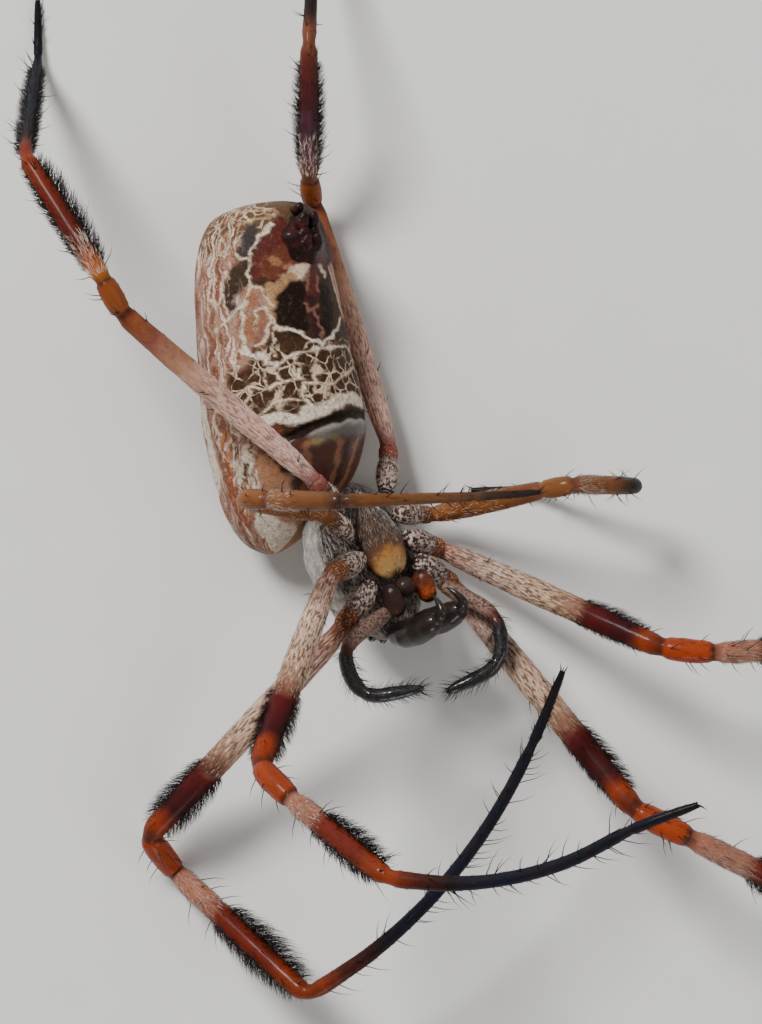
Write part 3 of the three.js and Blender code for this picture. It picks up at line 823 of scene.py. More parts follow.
# Marks of the belly and left flank, in the order they are painted: colour, width in mm, and a line
# through places, each the distance from the rear in mm and the turn from the belly's line in degrees
PATTERN = (
    # rear flank, golden lines over olive
    ("olive", 2.79, ((0.94, -108), (0.15, -120), (0.17, -57), (0.56, -27), (1.04, -12))),
    ("tan", 0.2, ((1.38, -122), (0.64, -117), (0.19, -120), (0.09, -103))),
    ("tan", 0.15, ((1.87, -99), (1.04, -91), (0.62, -76), (0.45, -60), (0.41, -35), (0.71, -21))),
    ("tan", 0.15, ((2.27, -85), (1.49, -78), (1.07, -65), (0.89, -51), (0.92, -32))),
    ("tan", 0.13, ((2.86, -117), (2.01, -104), (1.38, -93))),
    ("cream", 0.13, ((0.13, -103), (0.44, -63), (0.89, -51))),
    ("cream", 0.13, ((0.64, -117), (0.99, -87), (1.49, -80))),
    ("rust", 0.47, ((3.62, -84), (4.19, -83))),
    ("rust", 0.42, ((1.76, -78), (2.21, -78))),
    ("cream", 0.13, ((1.63, -83), (1.63, -78), (1.99, -74), (2.43, -75), (2.29, -80), (1.63, -83))),
    (
        "cream",
        0.16,
        ((3.48, -91), (3.34, -84), (3.68, -76), (4.42, -78), (4.62, -86), (4.11, -92), (3.48, -91)),
    ),
    # dark flank patches
    ("olive_dark", 0.79, ((3.17, -64), (3.77, -67), (4.48, -72))),
    ("slate_dark", 0.85, ((1.54, -50), (2.04, -55), (2.32, -57))),
    ("olive_dark", 0.37, ((4.82, -73), (4.51, -67))),
    # lobes on the left of the dark patches
    ("flank", 1.5, ((4.6, -50), (5.19, -52), (6.11, -54))),
    ("olive_dark", 0.85, ((3.1, -61), (3.6, -62), (4.0, -65))),
    ("olive_dark", 0.6, ((4.0, -65), (4.4, -68), (4.8, -70))),
    ("clay", 0.56, ((4.28, -53), (4.65, -51))),
    ("clay", 0.65, ((5.45, -57), (6.19, -57))),
    ("clay", 0.42, ((5.37, -46), (5.82, -47))),
    ("pink", 0.65, ((6.02, -44), (6.54, -50))),
    ("tan", 0.65, ((4.22, -37), (4.79, -35), (5.37, -35))),
    # rust fold
    ("maroon", 0.93, ((1.38, -22), (1.96, -34), (2.63, -41), (3.25, -44))),
    ("maroon", 1.21, ((1.82, -25), (2.57, -10), (2.94, 17))),
    ("rust_dark", 1.21, ((3.14, -34), (2.86, -21), (3.03, -11))),
    ("clay", 0.37, ((2.89, -32), (3.03, -27))),
    ("clay", 0.28, ((3.34, -22), (3.28, -17))),
    ("cream", 0.65, ((3.74, -18), (3.6, -11), (3.54, -3))),
    ("tan", 0.56, ((4.19, -29), (3.88, -24), (3.82, -17))),
    ("cream", 0.29, ((3.48, 14), (3.88, 17))),
    ("maroon_dark", 1.5, ((1.5, 14), (2.1, 32), (2.9, 34))),
    ("flank", 0.9, ((3.7, 35), (4.6, 40), (5.6, 44))),
    ("cream", 0.15, ((3.5, 27), (4.3, 31), (5.1, 34), (5.8, 38))),
    ("cream", 0.14, ((3.6, 38), (4.7, 43), (5.7, 46))),
    # dark patches and the stripe between
    ("black", 1.21, ((4.57, -17), (5.19, -20), (5.97, -19))),
    ("black", 0.84, ((4.88, -27), (5.59, -29))),
    ("black", 0.84, ((4.71, 13), (5.48, 13), (6.28, 5))),
    ("maroon", 0.56, ((3.11, 7), (4.19, 1), (5.02, -4))),
    ("maroon_dark", 0.56, ((5.02, -3), (5.97, -3), (6.62, -2))),
    ("pink", 0.14, ((5.08, -10), (5.37, -8), (5.31, -3), (5.19, 3))),
    ("pink", 0.13, ((5.39, -2), (5.88, -1), (6.37, 3), (6.74, -1))),
    ("pink", 0.14, ((3.71, -2), (4.45, -6))),
    ("pink", 0.14, ((3.85, 7), (4.51, 5))),
    # white lines
    ("white", 0.24, ((1.22, -29), (1.52, -37), (1.79, -43))),
    ("white", 0.16, ((1.79, -43), (2.21, -49), (2.72, -51), (3.54, -53), (4.02, -51))),
    ("cream", 0.13, ((2.72, -51), (2.63, -58), (2.38, -65), (1.87, -65), (1.49, -57))),
    ("cream", 0.13, ((4.02, -51), (4.0, -43), (4.57, -41), (4.97, -37))),
    ("cream", 0.13, ((4.02, -51), (4.42, -57), (4.97, -59))),
    ("white", 0.16, ((4.71, -57), (4.91, -65), (5.28, -73), (5.51, -80), (5.62, -87))),
    ("cream", 0.13, ((3.08, -73), (3.68, -77), (4.45, -75), (5.02, -73))),
    ("white", 0.16, ((4.97, -59), (5.85, -62), (6.51, -63), (7.02, -57))),
    (
        "cream",
        0.16,
        ((5.68, -51), (5.14, -49), (5.02, -43), (5.34, -38), (5.97, -41), (6.48, -45), (6.77, -53)),
    ),
    ("cream", 0.13, ((5.34, -38), (5.91, -36))),
    (
        "white",
        0.19,
        ((6.02, -36), (6.19, -26), (6.39, -17), (6.79, -9), (6.94, 0), (6.79, 11), (6.34, 21), (5.88, 31)),
    ),
    ("white", 0.24, ((6.77, -65), (7.11, -57), (7.19, -49), (7.59, -45), (7.76, -39))),
    ("white", 0.16, ((7.76, -39), (7.45, -33), (7.34, -23), (7.25, -10), (7.22, 5), (7.19, 27))),
    ("cream", 0.13, ((5.99, -37), (6.71, -40), (7.28, -40))),
    ("cream", 0.13, ((7.34, -23), (7.85, -28), (8.42, -27))),
    ("cream", 0.13, ((6.94, 0), (7.22, 1))),
    ("cream", 0.13, ((7.19, 27), (8.13, 49))),
    ("cream", 0.13, ((6.91, -69), (7.79, -74))),
    # net before the slit
    ("white", 0.17, ((8.08, -24), (8.65, -23), (9.47, -24), (9.9, -19))),
    ("cream", 0.12, ((8.45, -25), (8.5, -38), (8.79, -47), (8.56, -60), (8.73, -72))),
    ("cream", 0.12, ((8.56, -60), (9.25, -66), (9.7, -69))),
    ("cream", 0.12, ((8.5, -38), (9.22, -41), (9.62, -49), (9.96, -60))),
    ("cream", 0.12, ((7.91, -43), (8.5, -38))),
    ("cream", 0.12, ((8.73, -23), (8.73, -14), (8.93, -3), (8.62, 16), (8.33, 29))),
    ("cream", 0.12, ((8.93, -3), (9.27, -7), (9.68, 2), (9.68, 23))),
    ("cream", 0.12, ((8.73, -14), (9.19, -14), (9.27, -7))),
    ("cream", 0.12, ((8.73, -14), (8.36, -12), (8.22, -3))),
    ("cream", 0.12, ((9.62, -49), (9.39, -45), (9.39, -35), (9.47, -24))),
    ("cream", 0.12, ((7.85, -50), (8.39, -49), (8.79, -47))),
    ("cream", 0.12, ((8.73, -72), (9.25, -78), (9.7, -69))),
    # cream band
    ("white", 0.51, ((10.25, -61), (10.1, -46), (10.31, -31), (10.22, -19), (10.1, -9))),
    ("white", 0.56, ((10.13, -25), (9.96, -9), (9.7, 6), (9.68, 23), (9.96, 38))),
    # beside the slit
    ("rust_dark", 0.47, ((10.65, -56), (10.65, -46))),
    # lengthwise bands of the left flank
    ("cream", 0.29, ((7.54, -82), (8.68, -89))),
    ("rust", 0.33, ((7.45, -92), (8.53, -95))),
    (
        "white",
        0.85,
        ((9.25, -116), (10.88, -111), (12.29, -112), (13.9, -137), (15.1, -125), (15.88, -126)),
    ),
    ("pink", 0.37, ((9.82, -97), (11.13, -96))),
    ("cream", 0.16, ((10.13, -96), (11.33, -95), (12.29, -94))),
    ("orange", 0.5, ((10.53, -89), (11.67, -89), (13.05, -91))),
    ("rust", 0.74, ((13.05, -91), (13.83, -90), (14.63, -81))),
    ("orange", 0.33, ((13.55, -90), (14.05, -82), (14.45, -77))),
    ("olive_dark", 0.42, ((11.16, -81), (11.92, -80), (12.59, -77))),
    ("cream", 0.16, ((10.79, -81), (11.53, -83), (12.37, -81), (13.24, -77))),
    ("white", 0.47, ((11.3, -70), (11.73, -69), (12.45, -69), (13.16, -64))),
    ("white", 0.16, ((11.59, -75), (11.95, -75), (12.4, -77), (12.81, -72))),
    ("olive_dark", 0.28, ((11.98, -72), (12.43, -73))),
    ("beige", 1.02, ((12.2, -57), (12.97, -53), (13.32, -44))),
    # front tip
    ("white", 1.35, ((14.75, -60), (15.4, -46), (15.81, -15))),
    ("pink", 0.37, ((15.04, -104), (15.55, -102), (15.91, -84))),
)

PAINTS = {
    "white": (0.95, 0.83, 0.66),
    "black": (0.012, 0.005, 0.003),
    "maroon": (0.085, 0.014, 0.012),
    "maroon_dark": (0.03, 0.01, 0.01),
    "pink": (0.25, 0.11, 0.08),
    "orange": (0.56, 0.19, 0.07),
    "rust_dark": (0.13, 0.03, 0.014),
    "clay": (0.36, 0.15, 0.075),
    "tan": (0.46, 0.27, 0.13),
    "beige": (0.48, 0.235, 0.12),
    "olive": (0.1, 0.06, 0.03),
    "olive_dark": (0.04, 0.023, 0.014),
    "slate_dark": (0.04, 0.03, 0.028),
}


# Stripes in front of the slit, by the turn where they start
FRONT_STRIPES = ((-26, "clay"), (-12, "maroon"), (2, "clay"), (10, "black"), (22, "clay"), (34, "maroon"))
# The right flank mirrors the left past this turn
MIRRORED_FROM = 50
# A stroke wider than this in mm is a patch, with no net on it
PATCH_WIDTH = 0.6


def paint_abdomen(distance, turn):
    """The pattern of the abdomen: patches round the spinnerets, a net, the slit and the streaked flanks."""
    mirrored = np.where(turn > MIRRORED_FROM, -turn, turn)
    paint = Painting(distance, mirrored)
    colours = {**PAINTS, **{name: tint(name) for name in ("cream", "chocolate", "flank", "rust")}}
    paint.colour(colours["chocolate"], np.ones(len(distance)))
    net_flank = paint.band(7.6, 10.0) * paint.wedge(-80, -50)
    flanks = (1 - paint.wedge(-60, 62)) * (1 - net_flank)
    paint.colour(colours["flank"], flanks)
    paint.lay("streaks", 1, flanks)
    paint.colour(colours["beige"], paint.band(12.8, 17.0) * paint.wedge(-68, 62))
    paint.lay("net", 1, paint.band(6.9, 9.9) * (1 - flanks))
    paint.lay("net", 1, paint.band(-0.5, 2.4) * paint.wedge(-150, -25))
    for name, width, points in PATTERN:
        mask = paint.stroke(points, width)
        paint.colour(colours[name], mask)
        if width > PATCH_WIDTH and name != "olive":
            paint.lay("net", 0, mask)
            paint.layers["streaks"] *= 1 - 0.7 * mask
    paint_slit(paint, colours)
    return paint


def paint_slit(paint, colours):
    """Slit across the belly, the plate in front of it, and the stripes of the belly's front."""
    ahead = slit_distance(paint.far, paint.side)
    across = paint.wedge(-40, 62, 3)
    front = smooth_step(ahead, -0.1, 0.0) * paint.wedge(-36, 62, 3)
    paint.colour((0.07, 0.025, 0.016), front * (1 - 0.8 * smooth_step(paint.far, 13.4, 14.6)))
    paint.lay("net", 0, smooth_step(ahead, -0.5, -0.2))
    for turn, name in FRONT_STRIPES:
        paint.colour(colours[name], paint.stroke([(11.6, turn), (14.4, turn * 0.8)], 0.34), 0.6)
    plate = smooth_step(ahead, 0.16, 0.3) * (1 - smooth_step(ahead, 0.75, 1.15)) * paint.wedge(-22, 44)
    paint.colour((0.09, 0.09, 0.08), plate, 0.9)
    rim = np.exp(-(((ahead - 0.32) / 0.13) ** 2)) * paint.wedge(-24, 44)
    paint.colour((0.34, 0.33, 0.28), rim, 0.75)
    paint.colour((0.34, 0.2, 0.05), paint.spot(11.45, -19, 0.3, 0.8, 0.6), 0.7)
    paint.colour((0.24, 0.17, 0.06), paint.spot(11.35, -4, 0.25, 0.6, 0.6), 0.5)
    slit = (1 - smooth_step(np.abs(ahead), 0.18, 0.27)) * across
    paint.colour(colours["black"], slit)
    paint.lay("gloss", 1, smooth_step(ahead, -0.2, 0.0) * (1 - smooth_step(ahead, 1.4, 3.0)) * across)
    paint.lay("gloss", 0, slit)
    paint.colour(colours["cream"], paint.stroke([(10.9, 45), (12.2, 47), (13.4, 46), (14.4, 40)], 0.2))
    # Shine round the spinnerets
    paint.lay("gloss", 0.9, paint.spot(2.4, 0, 3.2, 3.6))


class ORBWEAVER_OT_abdomen(bpy.types.Operator):
    """Barrel-shaped abdomen with its pattern, slit and streaked flanks."""

    bl_idname = "orb_weaver.abdomen"
    bl_label = "Abdomen"

    def execute(self, context):
        piece = ABDOMEN_SKIN.build()
        self.paint(piece)
        dress(piece, self.finish(), "abdomen", "abdomen")
        return {"FINISHED"}

    def paint(self, piece):
        """Keeps the painted colours and masks as attributes of the mesh."""
        mesh = piece.data
        places = np.zeros(len(mesh.vertices) * 3, np.float32)
        mesh.vertices.foreach_get("co", places)
        local = (places.reshape(-1, 3) / MM - SHIFT - np.array(ABDOMEN["rear"])) @ ABDOMEN_AXES
        shift = np.interp(local[:, 0], ABDOMEN_OUTLINE[:, 0], ABDOMEN_OUTLINE[:, 2])
        turn = np.degrees(np.arctan2(local[:, 1], local[:, 2] + shift))
        painted = paint_abdomen(local[:, 0], turn)
        masks = np.stack([painted.layers[name] for name in ("net", "gloss", "streaks")], axis=-1)
        for name, values in (("painted", painted.layers["colour"]), ("masks", masks)):
            layer = mesh.attributes.new(name, "FLOAT_COLOR", "POINT")
            values = np.column_stack([values, np.ones(len(values))])
            layer.data.foreach_set("color", values.astype(np.float32).ravel())

    def finish(self):
        """The painted colours, broken up by net, mottling and streaks."""
        skin = Finish("abdomen skin", coat_roughness=0.2, specular_ior_level=0.12)
        place = skin.place()
        net, gloss, streaks = skin.parts(skin.attribute("masks"))
        painted = skin.attribute("painted")
        along, round_it = skin.along_and_round()
        # Net of cream lines between dark cells
        drift = {"Vector": place, "Scale": 1500, "Detail": 3.0}
        cloud = skin.node("ShaderNodeTexNoise", None, drift, "Color")
        shove = {0: cloud, 1: (0.5 * MM, 0.5 * MM, 0.5 * MM), 2: place}
        warp = skin.node("ShaderNodeVectorMath", {"operation": "MULTIPLY_ADD"}, shove)
        raised, _, _ = skin.parts(painted)
        bright = skin.step(raised, 0.03, 0.16)
        swell = (skin.noise(place, 0.45, 2.0) - 0.5) * 0.22
        edge = skin.cell_edges(warp, 0.62) + swell
        patchy = skin.step(skin.noise(place, 0.7), 0.35, 0.62)
        line = (1 - skin.step(edge, 0.03, 0.09)) * (patchy * 0.72 + 0.06)
        blotch = skin.step(skin.noise(place, 0.3, 4.0, 0.6), 0.5, 0.68)
        colour = skin.mix(blotch * 0.5 * (1 - gloss) * bright, painted, (0.16, 0.065, 0.03))
        inside = skin.step(skin.noise(place, 0.22, 3.0, 0.6), 0.48, 0.62) * net
        colour = skin.mix(inside * 0.5, colour, (0.13, 0.055, 0.026))
        colour = skin.mix(line * net, colour, (0.78, 0.6, 0.42))
        # Mottling of the patches, a little paler and darker than their paint
        still = (1 - gloss * 0.7) * (1 - net)
        cloudy = skin.noise(place, 0.26, 5.0, 0.68)
        fleck = skin.step(cloudy, 0.54, 0.68) * still
        colour = skin.mix(fleck * 0.26 * (bright * 0.7 + 0.3), colour, (0.46, 0.25, 0.16))
        shade = (1 - skin.step(cloudy, 0.34, 0.48)) * still
        colour = skin.mix(shade * 0.42 * bright, colour, (0.05, 0.02, 0.013))
        # Lengthwise streaks of the flanks
        turn = round_it * 46 + skin.noise(place, 1.0) * 3.2
        lines = skin.node("ShaderNodeCombineXYZ", None, {0: along * 7, 1: turn, 2: 0.0})
        grain = skin.raw_noise(lines, 1.5, 4.0, 0.62)
        pale = skin.step(grain, 0.52, 0.575) * streaks
        dark = (1 - skin.step(grain, 0.41, 0.48)) * streaks
        colour = skin.mix(dark * 0.85, colour, (0.17, 0.06, 0.027))
        colour = skin.mix(pale * 0.85, colour, (0.86, 0.66, 0.52))
        # Fine speckles and cracks
        fine = skin.fine(place, 0.16)
        speckle = skin.step(fine, 0.35, 0.65)
        colour = skin.mix((1 - speckle) * 0.3 * bright, colour, (0.12, 0.05, 0.03))
        crackle = 1 - skin.step(skin.cell_edges(warp, 0.2), 0.03, 0.13)
        colour = skin.mix(crackle * (1 - gloss) * (1 - net) * bright * 0.16, colour, (0.12, 0.05, 0.03))
        rough = 0.5 - gloss * 0.2 + speckle * 0.12
        height = fine * 0.4 + line * net * 0.6 + pale * 0.4 + raised * 0.8 - crackle * 0.2
        normal = skin.bump(height, 0.08)
        return skin.on_shader(base_color=colour, roughness=rough, coat_weight=gloss * 0.25, normal=normal)


class ORBWEAVER_OT_spinnerets(bpy.types.Operator):
    """Mound with six segmented spinnerets and the small knob behind them."""

    bl_idname = "orb_weaver.spinnerets"
    bl_label = "Spinnerets"

    # Radii by share of the length
    CONE_RADII = ((0, 0.3), (0.3, 0.36), (0.55, 0.34), (0.6, 0.27), (0.64, 0.29), (0.85, 0.2), (1, 0.09))
    KNOB_RADII = ((0, 0.3), (0.5, 0.33), (0.8, 0.24), (1, 0.1))
    COLOURS = ((0.35, (0.006, 0.003, 0.003)), (0.58, (0.035, 0.008, 0.007)), (0.8, (0.11, 0.026, 0.018)))

    def execute(self, context):
        pieces = [self.mound()] + self.cones()
        with context.temp_override(active_object=pieces[0], selected_editable_objects=pieces):
            bpy.ops.object.join()
        skin = Finish("spinneret skin", coat_weight=0.1, coat_roughness=0.16, specular_ior_level=0.1)
        place = skin.place()
        cloud = skin.noise(place, 0.5, 4.0)
        colour = skin.ramp(cloud, self.COLOURS)
        fine = skin.fine(place, 0.08)
        finish = skin.on_shader(base_color=colour, roughness=fine * 0.3 + 0.25, normal=skin.bump(fine, 0.04))
        dress(pieces[0], finish, "spinnerets", "spinnerets")
        return {"FINISHED"}

    def mound(self):
        """Low round mound with a folded edge."""
        x, belly, radius = SPINNERETS["x"], SPINNERETS["belly"], SPINNERETS["radius"]

        def bulge(points):
            fold = 1 + 0.06 * np.sin(6 * np.arctan2(points[:, 1], points[:, 0])) * (points[:, 2] > 0)
            return points * np.stack([fold, fold, np.ones_like(fold)], axis=-1)

        place = (x + 0.05, 0, belly - 0.15)
        shape = oval((radius * 1.05, radius, 0.95), place, on_abdomen, bulge)
        return Skin("spinneret_mound", 28, 40, shape).build()

    def cones(self):
        """Front, middle and rear pairs that lean to the rear, with the knob behind them."""
        belly = SPINNERETS["belly"] + SPINNERETS["height"] + 0.05
        spread, length = SPINNERET_CONE["spread"], SPINNERET_CONE["length"]
        lean = math.radians(SPINNERET_CONE["lean"])
        made = []
        for row in (-1, 0, 1):
            for side_name, side in SIDES.items():
                root = np.array([SPINNERETS["x"] + row * spread, side * spread * 0.75, belly - 0.45])
                towards = np.array([-math.sin(lean), -side * 0.12, math.cos(lean)])
                line = root + np.linspace(0, 1, 12)[:, None] * towards * (length - 0.1 - 0.2 * (row == 0))
                middle = Centreline([on_abdomen(line)], rounding=2)
                name = f"spinneret_{row + 1}_{side_name}"
                made.append(Skin(name, 22, 14, tube(middle, self.CONE_RADII)).build())
        root = np.array([SPINNERETS["x"] - 1.15, 0, SPINNERETS["belly"] - 0.35])
        line = root + np.linspace(0, 1, 12)[:, None] * np.array([-0.5, 0, 0.75])
        middle = Centreline([on_abdomen(line)], rounding=2)
        made.append(Skin("rear_knob", 16, 14, tube(middle, self.KNOB_RADII)).build())
        return made


# Cephalothorax


def shield(points):
    """The carapace's outline: full at the head, narrower there, nearly flat below, with grooves on top."""
    along = points[:, 0]
    power = np.where(along > 0, 0.55, 0.85)
    fullness = np.sign(along) * np.abs(along) ** power
    narrowing = smooth_step(fullness, 0, 0.8)
    half_width = CARAPACE["half_width"] * (1 - narrowing) + CARAPACE["head_half_width"] * narrowing
    broad = half_width * (1 + 0.15 * narrowing)
    depth = np.where(points[:, 2] < 0, CARAPACE_HEIGHT, CARAPACE_KEEL)
    middle = (CARAPACE["rear"] + CARAPACE["front"]) / 2
    half_length = (CARAPACE["front"] - CARAPACE["rear"]) / 2
    x = middle + half_length * fullness
    y = broad * points[:, 1]
    top = points[:, 2] < 0
    groove = np.exp(-(((x - 0.6 - 0.75 * np.abs(y)) / 0.28) ** 2)) * smooth_step(np.abs(y), 0.1, 0.5)
    pit = np.exp(-((x + 0.9) ** 2 / 0.5 + y**2 / 0.12))
    rays = np.cos(8 * np.arctan2(y, x + 0.9)) * smooth_step(np.hypot(x + 0.9, y), 0.8, 1.6)
    thorax = 1 - smooth_step(x, 0.2, 1.2)
    dent = top * (0.2 * groove + 0.35 * pit + 0.05 * rays * thorax)
    z = CARAPACE["rim"] + points[:, 2] * depth * (1 - dent / 2)
    return np.stack([x, y, z], axis=-1)


CARAPACE_SKIN = Skin("carapace_skin", 120, 96, oval((1, 1, 1), (0, 0, 0), on_prosoma, shield))


class ORBWEAVER_OT_carapace(bpy.types.Operator):
    """Carapace with its grooves, and the stalk that joins it to the abdomen."""

    bl_idname = "orb_weaver.carapace"
    bl_label = "Carapace"

    SILVERY = ((0.25, (0.2, 0.17, 0.15)), (0.5, (0.42, 0.4, 0.37)), (0.8, (0.6, 0.58, 0.55)))
    STALK_RADII = ((0, 0.4), (0.3, 0.5), (0.5, 0.42), (0.7, 0.5), (1, 0.4))
    STALK_STEP = 0.17

    def execute(self, context):
        shell = CARAPACE_SKIN.build()
        finish = self.finish()
        rear, drop = CARAPACE["rear"] + 0.6, CARAPACE["rim"] - STALK_DROP
        line = on_prosoma([(rear - k * self.STALK_STEP, 0, drop) for k in range(11)])
        stalk = Skin("stalk", 24, 20, tube(Centreline([line], rounding=2), self.STALK_RADII)).build()
        dress(shell, finish, "carapace", "carapace")
        dress(stalk, finish, "carapace")
        return {"FINISHED"}

    def finish(self):
        """Silvery grey above, darker at the head, and a dark wrinkled underside."""
        skin = Finish("carapace skin", coat_weight=0.15)
        place = skin.place()
        along, round_it = skin.along_and_round()
        cloud = skin.noise(place, 1.1, 4.0)
        silvery = skin.ramp(cloud, self.SILVERY)
        aside = skin.node("ShaderNodeMath", {"operation": "ABSOLUTE"}, {0: round_it - 0.5})
        below = skin.step(aside, 0.21, 0.27)
        head = skin.step(along, 0.86, 0.96)
        colour = skin.mix(head * 0.7, silvery, (0.04, 0.026, 0.02))
        wrinkle = skin.step(skin.noise(place, 0.2, 3.0, 0.6), 0.49, 0.6)
        underside = skin.mix(wrinkle * 0.5, (0.03, 0.017, 0.013), (0.3, 0.22, 0.18))
        colour = skin.mix(below, colour, underside)
        fine = skin.fine(place, 0.12)
        return skin.on_shader(base_color=colour, roughness=fine * 0.3 + 0.35, normal=skin.bump(fine, 0.05))


def heart(points):
    """Sternum: widest before its middle, pointed at the rear, low bumps beside the coxae."""
    rear, front, half_width = STERNUM["rear"], STERNUM["front"], STERNUM["half_width"]
    share = (points[:, 0] + 1) / 2
    swell = np.clip(np.sin(math.pi * np.clip(share, 0, 1) ** 1.4), 0, 1)
    width = half_width * swell ** np.where(share > 0.6, 0.36, 0.8)
    round_width = np.maximum(np.sqrt(np.clip(1 - points[:, 0] ** 2, 0, 1)), 1e-6)
    x = rear + (front - rear) * share
    y = points[:, 1] / round_width * width
    bumps = 1 + 0.12 * np.cos((x - 0.4) * 5.2) * smooth_step(np.abs(y) / half_width, 0.4, 0.9)
    thick = (STERNUM["top"] - STERNUM["bottom"]) / 2
    z = (STERNUM["top"] + STERNUM["bottom"]) / 2 + points[:, 2] * thick * bumps
    return np.stack([x, y, z], axis=-1)


STERNUM_SKIN = Skin("sternum_plate", 60, 48, oval((1, 1, 1), (0, 0, 0), on_prosoma, heart))


class ORBWEAVER_OT_sternum(bpy.types.Operator):
    """Heart-shaped plate between the coxae, yellow-orange in front."""

    bl_idname = "orb_weaver.sternum"
    bl_label = "Sternum"

    # Colours from the rear to the front
    BANDS = (
        (0.0, (0.02, 0.01, 0.008)),
        (0.5, (0.05, 0.022, 0.012)),
        (0.62, (0.12, 0.045, 0.016)),
        (0.7, (0.44, 0.19, 0.035)),
        (0.84, (0.56, 0.32, 0.1)),
        (0.95, (0.36, 0.13, 0.028)),
        (1.0, (0.12, 0.035, 0.012)),
    )

    def execute(self, context):
        plate = STERNUM_SKIN.build()
        skin = Finish("sternum skin", specular_ior_level=0.35)
        place = skin.place()
        along, round_it = skin.along_and_round()
        cloud = skin.noise(place, 0.7, 4.0)
        across = skin.node("ShaderNodeMath", {"operation": "SINE"}, {0: round_it * math.tau})
        band = along + cloud * 0.24 - 0.08 - across**2 * 0.08
        colour = skin.ramp(band, self.BANDS)
        fine = skin.fine(place, 0.1)
        lip_shadow = 1 - skin.step((1 - along) ** 2 * 9 + across**2, 0.12, 0.42)
        colour = skin.mix(lip_shadow * 0.9, colour, (0.05, 0.02, 0.012))
        mottled = skin.mix(skin.step(skin.noise(place, 0.2), 0.5, 0.66) * 0.55, colour, (0.14, 0.06, 0.025))
        finish = skin.on_shader(base_color=mottled, roughness=fine * 0.25 + 0.4, normal=skin.bump(fine, 0.09))
        dress(plate, finish, "sternum", "sternum")
        return {"FINISHED"}


def satin(name, dark, light, size=0.6, rough=0.3, coat=0.4):
    """Hard, smooth skin whose colour drifts between two."""
    skin = Finish(name, coat_weight=coat, coat_roughness=0.1, specular_ior_level=0.15)
    place = skin.place()
    cloud = skin.noise(place, size, 4.0)
    fine = skin.fine(place, 0.09)
    colour = skin.ramp(cloud, [(0.3, dark), (0.7, light)])
    return skin.on_shader(base_color=colour, roughness=fine * 0.2 + rough, normal=skin.bump(fine, 0.025))


